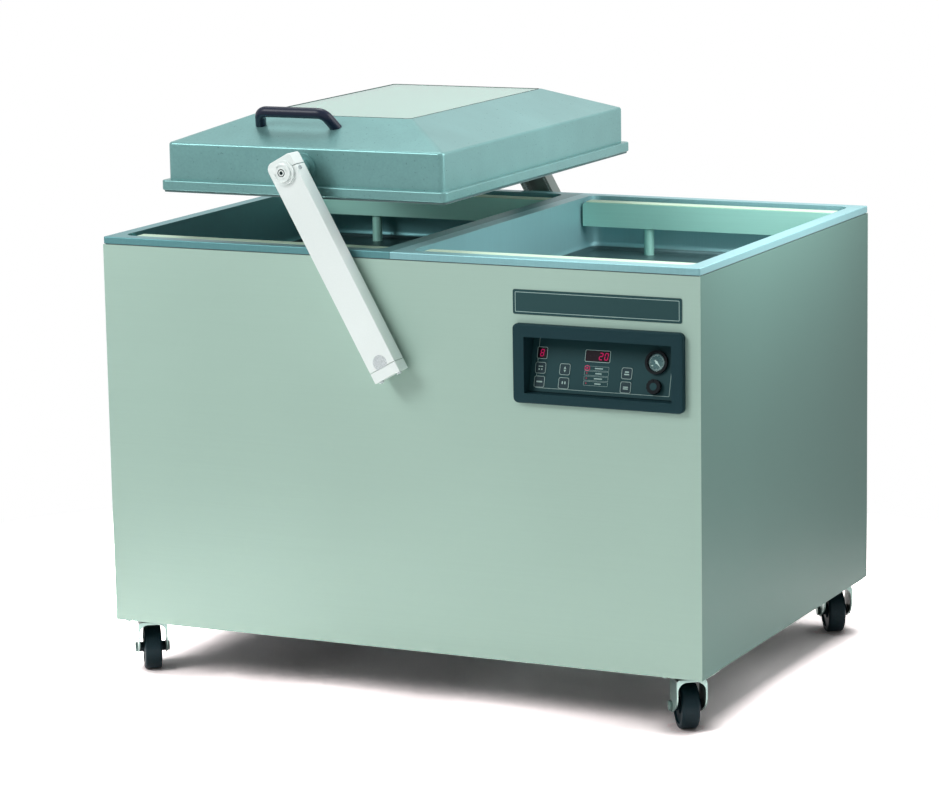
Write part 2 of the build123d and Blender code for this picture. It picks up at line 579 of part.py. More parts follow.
with BuildPart() as front_cap:
    with BuildSketch(ARM_PLANE):
        with Locations((0, -SHAFT_FLAT - CAP_HEIGHT / 2)):
            Rectangle(ARM_WIDTH, CAP_HEIGHT)
    extrude(amount=-ARM_THICKNESS)
    chamfer(front_cap.faces().sort_by(Axis.Y)[0].edges(), ARM_CHAMFER)
    with BuildSketch(ARM_PLANE.offset(-ARM_THICKNESS)):
        Circle(CHAIN_POCKET)
    extrude(amount=CHAIN_POCKET_DEPTH, mode=Mode.SUBTRACT)

with BuildPart() as clamp_caps:
    add(front_cap.part)
    mirror(front_cap.part, about=Plane.XZ)

with BuildPart() as front_chain:
    with BuildSketch(Plane(origin=(0, -CHAIN_Y, SHAFT_HEIGHT), x_dir=ARM_PLANE.x_dir, z_dir=(0, -1, 0))):
        with Locations((0, ARM_LENGTH / 2)):
            SlotCenterToCenter(ARM_LENGTH, 2 * (CHAIN_INNER + CHAIN_THICKNESS), rotation=90)
            SlotCenterToCenter(ARM_LENGTH, 2 * CHAIN_INNER, rotation=90, mode=Mode.SUBTRACT)
    extrude(amount=CHAIN_WIDTH / 2, both=True)

with BuildPart() as level_chains:
    add(front_chain.part)
    mirror(front_chain.part, about=Plane.XZ)

with BuildPart() as half_shaft:
    with BuildSketch(ARM_PLANE):
        Circle(SHAFT_DIAMETER / 2)
    extrude(amount=-ARM_FACE)
    with BuildSketch(ARM_PLANE):
        with Locations((0, -SHAFT_FLAT - SHAFT_DIAMETER / 2)):
            Rectangle(SHAFT_DIAMETER, SHAFT_DIAMETER)
    extrude(amount=-BLOCK_DEPTH, mode=Mode.SUBTRACT)
    # half of the crank that the balance strut pulls on
    with BuildSketch(ARM_PLANE.offset(-ARM_FACE)) as crank:
        Circle(CRANK_HUB)
        with Locations((0, -CRANK_RADIUS)):
            Circle(STRUT_EYE)
        make_hull()
        with Locations((0, -CRANK_RADIUS)):
            Circle(STRUT_PIN / 2 + SEAT_GAP, mode=Mode.SUBTRACT)
    extrude(amount=CRANK_THICKNESS / 2)

with BuildPart() as swing_shaft:
    add(half_shaft.part)
    mirror(half_shaft.part, about=Plane.XZ)

# === Bearings and levelling sprockets ==============================================================
def sprocket_outline():
    """Toothed disc of the levelling chain, drawn round the current location."""
    Circle(SPROCKET_RADIUS - SPROCKET_TOOTH)
    with PolarLocations(SPROCKET_RADIUS - SPROCKET_TOOTH, SPROCKET_TEETH):
        Rectangle(2 * SPROCKET_TOOTH, SPROCKET_TOOTH)


SPROCKET_INNER = CHAIN_Y - CHAIN_WIDTH / 2      # from the cabinet's middle
SPROCKET_OUTER = CHAIN_Y + CHAIN_WIDTH / 2

with BuildPart() as front_bearing:
    with BuildSketch(Plane.XZ.offset(COLUMN_FACE)):
        with Locations((0, SHAFT_HEIGHT)):
            Circle(BEARING_FLANGE / 2)
    extrude(amount=-BEARING_FLANGE_THICKNESS)
    with BuildSketch(Plane.XZ.offset(COLUMN_FACE)):
        with Locations((0, SHAFT_HEIGHT)):
            Circle(BEARING_NOSE / 2)
    extrude(amount=SPROCKET_INNER - COLUMN_FACE)
    with BuildSketch(Plane.XZ.offset(SPROCKET_INNER)):
        with Locations((0, SHAFT_HEIGHT)):
            sprocket_outline()
    extrude(amount=CHAIN_WIDTH)
    with BuildSketch(Plane.XZ.offset(COLUMN_FACE - BEARING_FLANGE_THICKNESS)):
        with Locations((0, SHAFT_HEIGHT)):
            Circle(SHAFT_DIAMETER / 2 + BEARING_FIT)
    extrude(amount=DEPTH, mode=Mode.SUBTRACT)

with BuildPart() as shaft_bearings:
    add(front_bearing.part)
    mirror(front_bearing.part, about=Plane.XZ)

LID_FACE = LID_WALL_DEPTH / 2
PIVOT_AXIS = (PIVOT_X, PIVOT_Z)

with BuildPart() as front_hub:
    with BuildSketch(Plane.XZ.offset(LID_FACE)):
        with Locations(PIVOT_AXIS):
            Circle(HUB_FLANGE / 2)
    extrude(amount=HUB_FLANGE_THICKNESS)
    with BuildSketch(Plane.XZ.offset(LID_FACE)):
        with Locations(PIVOT_AXIS):
            Circle(BEARING_NOSE / 2)
    extrude(amount=SPROCKET_INNER - LID_FACE)
    with BuildSketch(Plane.XZ.offset(SPROCKET_INNER)):
        with Locations(PIVOT_AXIS):
            sprocket_outline()
    extrude(amount=CHAIN_WIDTH)
    with BuildSketch(Plane.XZ.offset(SPROCKET_OUTER)):
        with Locations(PIVOT_AXIS):
            Circle(PIVOT_STUD / 2 + SEAT_GAP)
    extrude(amount=-PIVOT_STUD_LENGTH, mode=Mode.SUBTRACT)

with BuildPart() as pivot_hubs:
    add(front_hub.part)
    mirror(front_hub.part, about=Plane.XZ)

with BuildPart() as front_pivot:
    # pin through the arm, with a thinner stud into the hub
    with BuildSketch(Plane.XZ.offset(ARM_FACE + PIVOT_SIDE_GAP)):
        with Locations(PIVOT_AXIS):
            Circle(PIVOT_DIAMETER / 2)
    extrude(amount=-(BLOCK_DEPTH + 2 * PIVOT_SIDE_GAP))
    with BuildSketch(Plane.XZ.offset(ARM_FACE)):
        with Locations(PIVOT_AXIS):
            Circle(PIVOT_STUD / 2)
    extrude(amount=-(ARM_FACE - SPROCKET_OUTER + PIVOT_STUD_LENGTH - SEAT_GAP))
    # washer and head with two curved adjusting slots, a ring recess and a hexagon socket
    with BuildSketch(Plane.XZ.offset(ARM_FACE + PIVOT_SIDE_GAP)):
        with Locations(PIVOT_AXIS):
            Circle(PIVOT_WASHER / 2)
    extrude(amount=PIVOT_WASHER_THICKNESS)
    head_face = ARM_FACE + PIVOT_SIDE_GAP + PIVOT_WASHER_THICKNESS + PIVOT_HEAD_THICKNESS
    with BuildSketch(Plane.XZ.offset(head_face)):
        with Locations(PIVOT_AXIS):
            Circle(PIVOT_HEAD / 2)
    extrude(amount=-PIVOT_HEAD_THICKNESS)
    fillet(front_pivot.faces().sort_by(Axis.Y)[0].edges(), PIVOT_HEAD_EDGE)
    with BuildSketch(Plane.XZ.offset(head_face)):
        for start in PIVOT_SLOT_ANGLES:
            with BuildLine():
                slot_line = CenterArc(PIVOT_AXIS, PIVOT_SLOT_RADIUS, start, PIVOT_SLOT_SWEEP)
            SlotArc(slot_line, PIVOT_SLOT_WIDTH)
        with Locations(PIVOT_AXIS):
            Circle(PIVOT_RING / 2)
            Circle(PIVOT_RING / 2 - PIVOT_SLOT_WIDTH / 2, mode=Mode.SUBTRACT)
    extrude(amount=-PIVOT_SLOT_WIDTH / 2, mode=Mode.SUBTRACT)
    with BuildSketch(Plane.XZ.offset(head_face)):
        with Locations(PIVOT_AXIS):
            RegularPolygon(PIVOT_SOCKET / 2, 6)
    extrude(amount=-PIVOT_HEAD_THICKNESS, mode=Mode.SUBTRACT)

with BuildPart() as lid_pivots:
    add(front_pivot.part)
    mirror(front_pivot.part, about=Plane.XZ)

# === Lid ===========================================================================================
LID = Plane(origin=(PIVOT_X, 0, LID_BOTTOM))
SLOPE_RISE = LID_HEIGHT - LID_WALL_HEIGHT
SLOPE_RUN = (LID_WALL_DEPTH - LID_TOP_DEPTH) / 2
SLOPE_DROP = LID_WALL * (SLOPE_RISE**2 + SLOPE_RUN**2) ** 0.5 / SLOPE_RUN
WINDOW_WIDTH = LID_TOP_WIDTH - 2 * WINDOW_MARGIN
WINDOW_DEPTH = LID_TOP_DEPTH - 2 * WINDOW_MARGIN


def roofed_box(inset, wall_height, roof_height, radius):
    """The lid's form: upright walls under a four-sided sloping roof with a flat middle."""
    with BuildPart() as form:
        with BuildSketch(LID):
            RectangleRounded(LID_WALL_WIDTH - 2 * inset, LID_WALL_DEPTH - 2 * inset, radius)
        extrude(amount=wall_height)
        with BuildSketch(LID.offset(wall_height)):
            RectangleRounded(LID_WALL_WIDTH - 2 * inset, LID_WALL_DEPTH - 2 * inset, radius)
        with BuildSketch(LID.offset(roof_height)):
            RectangleRounded(LID_TOP_WIDTH - 2 * inset, LID_TOP_DEPTH - 2 * inset, radius / 2)
        loft()
    return form


def gasket_ring(gap):
    """Outline of the gasket's groove, drawn narrower by a gap on both sides."""
    outer = GASKET_EDGE + gap
    inner = GASKET_EDGE + GASKET_WIDTH - gap
    RectangleRounded(LID_WIDTH - 2 * outer, LID_DEPTH - 2 * outer, LID_CORNER_RADIUS - GASKET_EDGE)
    Rectangle(LID_WIDTH - 2 * inner, LID_DEPTH - 2 * inner, mode=Mode.SUBTRACT)


INNER_WALL_HEIGHT = LID_WALL_HEIGHT - SLOPE_DROP + LID_WALL * SLOPE_RISE / SLOPE_RUN
INNER_ROOF = INNER_WALL_HEIGHT + SLOPE_RISE
COUNTER_BAR_TOP = COUNTER_BAR_RAISE + COUNTER_BAR_HEIGHT
lid_form = roofed_box(0, LID_WALL_HEIGHT, LID_HEIGHT, LID_CORNER_RADIUS)
lid_cavity = roofed_box(LID_WALL, INNER_WALL_HEIGHT, INNER_ROOF, LID_CORNER_RADIUS - LID_WALL)

with BuildPart() as counter_bosses:
    with BuildSketch(LID.offset(COUNTER_BAR_TOP)):
        with GridLocations(COUNTER_BOSS_SPACING, 2 * BAR_Y, 2, 2):
            Circle(COUNTER_BOSS_DIAMETER / 2)
    extrude(amount=LID_HEIGHT)
    add(lid_form.part, mode=Mode.INTERSECT)

with BuildPart() as lid_shell:
    add(lid_form.part)
    # the eaves: the middle one of the form's three level rings of edges
    fillet(lid_shell.edges().filter_by(Plane.XY).group_by(Axis.Z)[1], LID_EAVES_RADIUS)
    with BuildSketch(LID):
        RectangleRounded(LID_WIDTH, LID_DEPTH, LID_CORNER_RADIUS)
    extrude(amount=LID_FLANGE_HEIGHT)
    rim = lid_shell.faces().filter_by(Axis.Z).sort_by(Axis.Z)[:2]
    fillet(rim[0].outer_wire().edges() + rim[1].outer_wire().edges(), LID_FLANGE_EDGE)
    add(lid_cavity.part, mode=Mode.SUBTRACT)
    add(counter_bosses.part)
    # collar round the window, with a ledge that the window rests on
    with BuildSketch(LID.offset(LID_HEIGHT)):
        RectangleRounded(LID_TOP_WIDTH, LID_TOP_DEPTH, LID_CORNER_RADIUS / 2)
    extrude(amount=-(WINDOW_THICKNESS + LID_WALL))
    with BuildSketch(LID.offset(LID_HEIGHT)):
        RectangleRounded(WINDOW_WIDTH, WINDOW_DEPTH, WINDOW_CORNER_RADIUS)
    extrude(amount=-WINDOW_THICKNESS, mode=Mode.SUBTRACT)
    with BuildSketch(LID.offset(LID_HEIGHT)):
        Rectangle(WINDOW_WIDTH - 2 * WINDOW_LEDGE, WINDOW_DEPTH - 2 * WINDOW_LEDGE)
    extrude(amount=-LID_HEIGHT, mode=Mode.SUBTRACT)
    # groove for the gasket, in the flange's underside
    with BuildSketch(LID):
        gasket_ring(0)
    extrude(amount=GASKET_GROOVE, mode=Mode.SUBTRACT)

with BuildPart() as lid_window:
    with BuildSketch(LID.offset(LID_HEIGHT)):
        RectangleRounded(WINDOW_WIDTH - 2 * WINDOW_GAP, WINDOW_DEPTH - 2 * WINDOW_GAP, WINDOW_CORNER_RADIUS)
    extrude(amount=-WINDOW_THICKNESS)

with BuildPart() as lid_gasket:
    with BuildSketch(LID.offset(GASKET_GROOVE)):
        gasket_ring(GASKET_GAP)
    extrude(amount=-(GASKET_GROOVE + GASKET_PROUD))

with BuildPart() as counter_bars:
    with BuildSketch(LID.offset(COUNTER_BAR_RAISE)):
        with GridLocations(0, 2 * BAR_Y, 1, 2):
            Rectangle(COUNTER_BAR_LENGTH, BAR_THICKNESS)
    extrude(amount=COUNTER_BAR_HEIGHT)

# === Handle ========================================================================================
LEAN = radians(HANDLE_LEAN)
FOOT_Y = -(LID_WALL_DEPTH / 2 - HANDLE_UP_SLOPE * SLOPE_RUN)
FOOT_Z = LID_BOTTOM + LID_WALL_HEIGHT + HANDLE_UP_SLOPE * SLOPE_RISE
HANDLE_PLANE = Plane(
    origin=(PIVOT_X + HANDLE_OFFSET, FOOT_Y, FOOT_Z), x_dir=(1, 0, 0), z_dir=(0, -cos(LEAN), -sin(LEAN))
)
SLOPE_PLANE = Plane(
    origin=(PIVOT_X + HANDLE_OFFSET, FOOT_Y, FOOT_Z), x_dir=(1, 0, 0), z_dir=(0, -SLOPE_RISE, SLOPE_RUN)
)

with BuildPart() as lid_handle:
    splay = (HANDLE_FEET - HANDLE_GRIP) / 2 * HANDLE_DIAMETER / HANDLE_HEIGHT
    with BuildLine(HANDLE_PLANE) as handle_line:
        FilletPolyline(
            (-HANDLE_FEET / 2 - splay, -HANDLE_DIAMETER),
            (-HANDLE_GRIP / 2, HANDLE_HEIGHT),
            (HANDLE_GRIP / 2, HANDLE_HEIGHT),
            (HANDLE_FEET / 2 + splay, -HANDLE_DIAMETER),
            radius=HANDLE_BEND,
        )
    with BuildSketch(Plane(origin=handle_line.line @ 0, z_dir=handle_line.line % 0)):
        Circle(HANDLE_DIAMETER / 2)
    sweep()
    with BuildSketch(SLOPE_PLANE.offset(SEAT_GAP)):
        Rectangle(2 * HANDLE_FEET, 4 * HANDLE_DIAMETER)
    extrude(amount=-3 * HANDLE_DIAMETER, mode=Mode.SUBTRACT)

# === Control unit ==================================================================================
RECESS_TILT = atan((RECESS_TOP_DEPTH - RECESS_BOTTOM_DEPTH) / RECESS_HEIGHT)
FACE_HEIGHT = RECESS_HEIGHT / cos(RECESS_TILT)
CONTROL_FACE = Plane(
    origin=(BEZEL_X, -DEPTH / 2 + (RECESS_TOP_DEPTH + RECESS_BOTTOM_DEPTH) / 2, RECESS_Z),
    x_dir=(1, 0, 0),
    z_dir=(0, -cos(RECESS_TILT), sin(RECESS_TILT)),
)
KEY_PLACES = [(column, row) for row in KEY_ROWS for column in KEY_COLUMNS]
DISPLAYS = (SMALL_DISPLAY, LARGE_DISPLAY)


def recess_section(start, wall, behind):
    """Side view of the recess from y = start back to the inclined face, moved back by a distance."""
    low = RECESS_Z - RECESS_HEIGHT / 2
    back = []
    for z in (low - wall, low + RECESS_HEIGHT + wall):
        face_y = -DEPTH / 2 + RECESS_BOTTOM_DEPTH + (z - low) * tan(RECESS_TILT)
        back.append((face_y + behind / cos(RECESS_TILT), z))
    Polygon((start, back[0][1]), *back, (start, back[1][1]), align=None)


with BuildPart() as control_bezel:
    with BuildSketch(FRONT):
        with Locations((BEZEL_X, BEZEL_Z)):
            RectangleRounded(BEZEL_WIDTH, BEZEL_HEIGHT, BEZEL_RADIUS)
    extrude(amount=BEZEL_PROUD)
    fillet(control_bezel.faces().sort_by(Axis.Y)[0].edges(), BEZEL_EDGE)
    floor_back = PLATE_THICKNESS + SEAT_GAP
    with BuildSketch(Plane.YZ.offset(BEZEL_X)):
        recess_section(-DEPTH / 2 - BEZEL_EDGE, BEZEL_WALL, floor_back + BEZEL_WALL)
    extrude(amount=TUB_FRAME_WIDTH / 2, both=True)
    with BuildSketch(Plane.YZ.offset(BEZEL_X)):
        recess_section(-DEPTH / 2 - 2 * BEZEL_PROUD, 0, floor_back)
    extrude(amount=RECESS_WIDTH / 2, both=True, mode=Mode.SUBTRACT)
    with BuildSketch(CONTROL_FACE):
        with Locations(GAUGE_PLACE):
            Circle(GAUGE_BODY / 2 + SEAT_GAP)
        with Locations(KNOB_PLACE):
            Circle(KNOB_SHAFT / 2 + BEARING_FIT)
    extrude(amount=-GAUGE_BODY_DEPTH, mode=Mode.SUBTRACT)

with BuildPart() as control_plate:
    with BuildSketch(CONTROL_FACE):
        Rectangle(RECESS_WIDTH - 2 * PLATE_GAP, FACE_HEIGHT - 2 * PLATE_GAP - PLATE_THICKNESS)
        with Locations(GAUGE_PLACE):
            Circle(GAUGE_BODY / 2 + SEAT_GAP, mode=Mode.SUBTRACT)
        with Locations(KNOB_PLACE):
            Circle(KNOB_SHAFT / 2 + BEARING_FIT, mode=Mode.SUBTRACT)
    extrude(amount=-PLATE_THICKNESS)
    with BuildSketch(CONTROL_FACE):
        with Locations(*KEY_PLACES):
            Rectangle(KEY_SIZE + 2 * KEY_GAP, KEY_SIZE + 2 * KEY_GAP)
    extrude(amount=-(KEY_THICKNESS - KEY_PROUD + KEY_TRAVEL + SEAT_GAP), mode=Mode.SUBTRACT)
    with BuildSketch(CONTROL_FACE):
        for centre, width in DISPLAYS:
            with Locations((centre, DISPLAY_ROW)):
                Rectangle(width + 2 * SEAT_GAP, DISPLAY_HEIGHT + 2 * SEAT_GAP)
    extrude(amount=-(DISPLAY_THICKNESS - DISPLAY_PROUD), mode=Mode.SUBTRACT)

with BuildPart() as display_windows:
    with BuildSketch(CONTROL_FACE.offset(DISPLAY_PROUD)):
        for centre, width in DISPLAYS:
            with Locations((centre, DISPLAY_ROW)):
                Rectangle(width, DISPLAY_HEIGHT)
    extrude(amount=-DISPLAY_THICKNESS)


def key(place):
    """One square key of the control unit."""
    with BuildPart() as cap:
        with BuildSketch(CONTROL_FACE.offset(KEY_PROUD)):
            with Locations(place):
                RectangleRounded(KEY_SIZE, KEY_SIZE, KEY_CORNER)
        extrude(amount=-KEY_THICKNESS)
    return cap


# heights of the gauge's parts above the plate
LENS_SEAT = GAUGE_PROUD - GAUGE_LIP - LENS_THICKNESS
DIAL_TOP = DIAL_SEAT + DIAL_THICKNESS
GAUGE_BORE = GAUGE_DIAMETER / 2 - GAUGE_RING
GAUGE_FACE = Plane(CONTROL_FACE * Location((*GAUGE_PLACE, 0)))

with BuildPart() as gauge_case:
    with BuildSketch(GAUGE_FACE):
        Circle(GAUGE_DIAMETER / 2)
    extrude(amount=GAUGE_PROUD)
    with BuildSketch(GAUGE_FACE):
        Circle(GAUGE_BODY / 2)
    extrude(amount=-GAUGE_BODY_DEPTH)
    with BuildSketch(GAUGE_FACE.offset(LENS_SEAT)):
        Circle(GAUGE_BORE)
    extrude(amount=GAUGE_PROUD, mode=Mode.SUBTRACT)
    with BuildSketch(GAUGE_FACE.offset(DIAL_SEAT)):
        Circle(GAUGE_BORE - GAUGE_STEP)
    extrude(amount=GAUGE_PROUD, mode=Mode.SUBTRACT)
    with BuildSketch(GAUGE_FACE.offset(DIAL_SEAT)):
        Circle(NEEDLE_PIN / 2 + BEARING_FIT)
    extrude(amount=-NEEDLE_DEPTH, mode=Mode.SUBTRACT)

with BuildPart() as gauge_dial:
    with BuildSketch(GAUGE_FACE.offset(DIAL_SEAT)):
        Circle(GAUGE_BORE - GAUGE_STEP - SEAT_GAP)
        Circle(NEEDLE_PIN / 2 + SEAT_GAP, mode=Mode.SUBTRACT)
    extrude(amount=DIAL_THICKNESS)

with BuildPart() as gauge_lens:
    with BuildSketch(GAUGE_FACE.offset(LENS_SEAT)):
        Circle(GAUGE_BORE - SEAT_GAP)
    extrude(amount=LENS_THICKNESS)

with BuildPart() as gauge_needle:
    with BuildSketch(GAUGE_FACE.offset(DIAL_TOP + NEEDLE_LIFT)) as needle:
        Circle(NEEDLE_HUB / 2)
        with Locations((-NEEDLE_REACH * cos(radians(NEEDLE_REST)), NEEDLE_REACH * sin(radians(NEEDLE_REST)))):
            Circle(NEEDLE_TIP)
        make_hull()
    extrude(amount=NEEDLE_THICKNESS)
    with BuildSketch(GAUGE_FACE.offset(DIAL_TOP + NEEDLE_LIFT)):
        Circle(NEEDLE_PIN / 2)
    extrude(amount=-(DIAL_TOP + NEEDLE_LIFT - DIAL_SEAT + NEEDLE_DEPTH - SEAT_GAP))

with BuildPart() as regulator_knob:
    with BuildSketch(CONTROL_FACE.offset(KNOB_GAP)):
        with Locations(KNOB_PLACE):
            Circle(KNOB_DIAMETER / 2)
            with PolarLocations(KNOB_DIAMETER / 2 + KNOB_SCALLOP / 2, KNOB_SCALLOPS):
                Circle(KNOB_SCALLOP, mode=Mode.SUBTRACT)
    extrude(amount=KNOB_HEIGHT)
    with BuildSketch(CONTROL_FACE.offset(KNOB_GAP)):
        with Locations(KNOB_PLACE):
            Circle(KNOB_SHAFT / 2)
    extrude(amount=-(KNOB_SHAFT_LENGTH + KNOB_GAP))
    # pointer groove across the knob's top
    with BuildSketch(CONTROL_FACE.offset(KNOB_GAP + KNOB_HEIGHT)):
        with Locations((KNOB_PLACE[0], KNOB_PLACE[1] + KNOB_DIAMETER / 4)):
            Rectangle(KNOB_SCALLOP, KNOB_DIAMETER / 2)
    extrude(amount=-KNOB_POINTER_DEPTH, mode=Mode.SUBTRACT)

with BuildPart() as badge_plate:
    with BuildSketch(FRONT):
        with Locations((BADGE_X, BADGE_Z)):
            RectangleRounded(BADGE_WIDTH, BADGE_HEIGHT, BADGE_RADIUS)
    extrude(amount=BADGE_THICKNESS)

# === Machinery inside ==============================================================================
PUMP_Z = RAIL_TOP + PUMP_HEIGHT / 2
PUMP_FACE = PUMP_X + PUMP_LENGTH / 2

with BuildPart() as vacuum_pump:
    with BuildSketch(Plane.YZ.offset(PUMP_X - PUMP_LENGTH / 2)) as outline:
        with Locations((PIPE_RUN_Y, PUMP_Z)):
            Rectangle(PUMP_WIDTH, PUMP_HEIGHT)
        fillet(outline.vertices().group_by(Axis.Y)[-1], PUMP_CORNER)
    extrude(amount=PUMP_LENGTH)
    # cooling ribs over the front half
    with BuildSketch(Plane.XY.offset(RAIL_TOP + PUMP_HEIGHT)):
        with Locations((PUMP_X, PIPE_RUN_Y - PUMP_WIDTH / 2)):
            with GridLocations(PUMP_LENGTH / PUMP_RIBS, 0, PUMP_RIBS, 1):
                Rectangle(PUMP_LENGTH / PUMP_RIBS / 2, PUMP_RIB_DEPTH)
    extrude(amount=-(PUMP_HEIGHT - RAIL_HEIGHT), mode=Mode.SUBTRACT)

with BuildPart() as pump_motor:
    with BuildSketch(Plane.YZ.offset(PUMP_FACE + SEAT_GAP)):
        with Locations((PIPE_RUN_Y, PUMP_Z)):
            Circle(MOTOR_DIAMETER / 2 - MOTOR_FIN_HEIGHT)
            with PolarLocations(MOTOR_DIAMETER / 2 - MOTOR_FIN_HEIGHT, MOTOR_FINS):
                Rectangle(2 * MOTOR_FIN_HEIGHT, MOTOR_FIN_WIDTH)
    extrude(amount=MOTOR_LENGTH)
    # terminal box
    with BuildSketch(Plane.XY.offset(PUMP_Z)):
        with Locations((PUMP_FACE + MOTOR_LENGTH / 2, PIPE_RUN_Y)):
            Rectangle(MOTOR_DIAMETER / 2, MOTOR_DIAMETER / 2)
    extrude(amount=MOTOR_DIAMETER / 2 + RAIL_HEIGHT)

with BuildPart() as control_box:
    with BuildSketch(FRONT.offset(-SHEET - SEAT_GAP)):
        with Locations((BEZEL_X, BOX_Z)):
            Rectangle(BOX_SIZE[0], BOX_SIZE[1])
    extrude(amount=-BOX_SIZE[2])
    fillet(control_box.edges().filter_by(Axis.Y), RIM_EDGE_RADIUS)
    with BuildSketch(FRONT.offset(-SHEET - SEAT_GAP - BOX_SIZE[2])):
        with Locations((BEZEL_X, BOX_Z)):
            Rectangle(BOX_SIZE[0] - RAIL_HEIGHT, BOX_SIZE[1] - RAIL_HEIGHT)
    extrude(amount=-BEZEL_WALL)

VALVE_BOTTOM = FLOOR_Z - VALVE_BELOW_FLOOR - VALVE_HEIGHT
PIPE_RUN_Z = VALVE_BOTTOM - PIPE_RUN_DROP

with BuildPart() as vacuum_pipes:
    # riser from the pump to the left valve, and a branch across to the right valve
    with BuildSketch(Plane.XY.offset(RAIL_TOP + PUMP_HEIGHT)):
        with Locations((-CHAMBER_X, PIPE_RUN_Y)):
            Circle(PIPE_DIAMETER / 2)
    extrude(amount=VALVE_BOTTOM - RAIL_TOP - PUMP_HEIGHT)
    with BuildLine() as branch:
        FilletPolyline(
            (-CHAMBER_X, PIPE_RUN_Y, PIPE_RUN_Z),
            (CHAMBER_X, PIPE_RUN_Y, PIPE_RUN_Z),
            (CHAMBER_X, PIPE_RUN_Y, VALVE_BOTTOM),
            radius=PIPE_BEND,
        )
    with BuildSketch(Plane(origin=branch.line @ 0, z_dir=branch.line % 0)):
        Circle(PIPE_DIAMETER / 2)
    sweep()

with BuildPart() as suction_valves:
    with BuildSketch(Plane.XY.offset(VALVE_BOTTOM)):
        with GridLocations(2 * CHAMBER_X, 0, 2, 1):
            with Locations((0, PIPE_RUN_Y)):
                Rectangle(VALVE_SIZE, VALVE_SIZE)
    extrude(amount=VALVE_HEIGHT)
    with BuildSketch(Plane.XY.offset(FLOOR_Z - TUB_WALL)):
        with GridLocations(2 * CHAMBER_X, 0, 2, 1):
            with Locations((0, PIPE_RUN_Y)):
                Circle(PORT_DIAMETER / 2 + PORT_WALL)
    extrude(amount=-(FLOOR_Z - TUB_WALL - VALVE_BOTTOM - VALVE_HEIGHT))
    with BuildSketch(Plane.XY.offset(FLOOR_Z - TUB_WALL)):
        with GridLocations(2 * CHAMBER_X, 0, 2, 1):
            with Locations((0, PIPE_RUN_Y)):
                Circle(PORT_DIAMETER / 2)
    extrude(amount=-PORT_DIAMETER, mode=Mode.SUBTRACT)

with BuildPart() as cable_gland:
    with BuildSketch(REAR):
        with Locations((-GLAND_X, GLAND_Z)):
            RegularPolygon(GLAND_NUT / 2, 6)
    extrude(amount=GLAND_LENGTH / 2)
    with BuildSketch(REAR):
        with Locations((-GLAND_X, GLAND_Z)):
            Circle(GLAND_NECK / 2)
    extrude(amount=GLAND_LENGTH)
    with BuildSketch(REAR.offset(-SHEET)):
        with Locations((-GLAND_X, GLAND_Z)):
            Circle(GLAND_NECK / 2)
    extrude(amount=SHEET)
    with BuildSketch(REAR.offset(-SHEET)):
        with Locations((-GLAND_X, GLAND_Z)):
            RegularPolygon(GLAND_NUT / 2, 6)
    extrude(amount=-GLAND_LENGTH / 4)
    with BuildSketch(REAR.offset(GLAND_LENGTH)):
        with Locations((-GLAND_X, GLAND_Z)):
            Circle(GLAND_BORE / 2)
    extrude(amount=-2 * GLAND_LENGTH, mode=Mode.SUBTRACT)

STRUT_FOOT = Vector(0, 0, RAIL_TOP + STRUT_LUG)
STRUT_TIP = Vector(CRANK_RADIUS * sin(TILT), 0, SHAFT_HEIGHT - CRANK_RADIUS * cos(TILT))
STRUT_LENGTH = (STRUT_TIP - STRUT_FOOT).length
STRUT_SIDE = Plane(origin=STRUT_FOOT, x_dir=STRUT_TIP - STRUT_FOOT, z_dir=(0, -1, 0))
STRUT_AXIS = Plane(origin=STRUT_FOOT, x_dir=(0, 1, 0), z_dir=STRUT_TIP - STRUT_FOOT)
CLEVIS_HALF = CRANK_THICKNESS / 2 + CLEVIS_GAP

with BuildPart() as balance_strut:
    # forked ends that straddle the frame's lug and the crank
    for eye, step in ((0, 1), (STRUT_LENGTH, -1)):
        with BuildSketch(STRUT_SIDE):
            with Locations((eye + step * CLEVIS_REACH / 2, 0)):
                SlotOverall(CLEVIS_REACH + 2 * CLEVIS_RADIUS, 2 * CLEVIS_RADIUS)
        extrude(amount=CLEVIS_HALF + CLEVIS_CHEEK, both=True)
        with BuildSketch(STRUT_SIDE):
            with Locations((eye, 0)):
                Rectangle(2 * CLEVIS_REACH, 4 * CLEVIS_RADIUS)
        extrude(amount=CLEVIS_HALF, both=True, mode=Mode.SUBTRACT)
    with BuildSketch(STRUT_SIDE):
        with Locations((0, 0), (STRUT_LENGTH, 0)):
            Circle(STRUT_PIN / 2)
    extrude(amount=CLEVIS_HALF + CLEVIS_CHEEK, both=True)
    # tube below, rod above
    with BuildSketch(STRUT_AXIS.offset(CLEVIS_REACH)):
        Circle(STRUT_TUBE / 2)
    extrude(amount=STRUT_TUBE_LENGTH)
    with BuildSketch(STRUT_AXIS.offset(CLEVIS_REACH)):
        Circle(STRUT_ROD / 2)
    extrude(amount=STRUT_LENGTH - 2 * CLEVIS_REACH)

# === Casters =======================================================================================
CASTER_PLACES = {
    "front_left": (-CASTER_X, -CASTER_Y),
    "front_right": (CASTER_X, -CASTER_Y),
    "rear_left": (-CASTER_X, CASTER_Y),
    "rear_right": (CASTER_X, CASTER_Y),
}
AXLE_Z = WHEEL_DIAMETER / 2
RACE_BOTTOM = CASTER_HEIGHT - CASTER_PLATE[2] - RACE_HEIGHT
CROWN_TOP = RACE_BOTTOM - SWIVEL_GAP
CROWN_BOTTOM = CROWN_TOP - FORK_SHEET
FORK_INNER = WHEEL_WIDTH / 2 + FORK_GAP
FORK_OUTER = FORK_INNER + FORK_SHEET

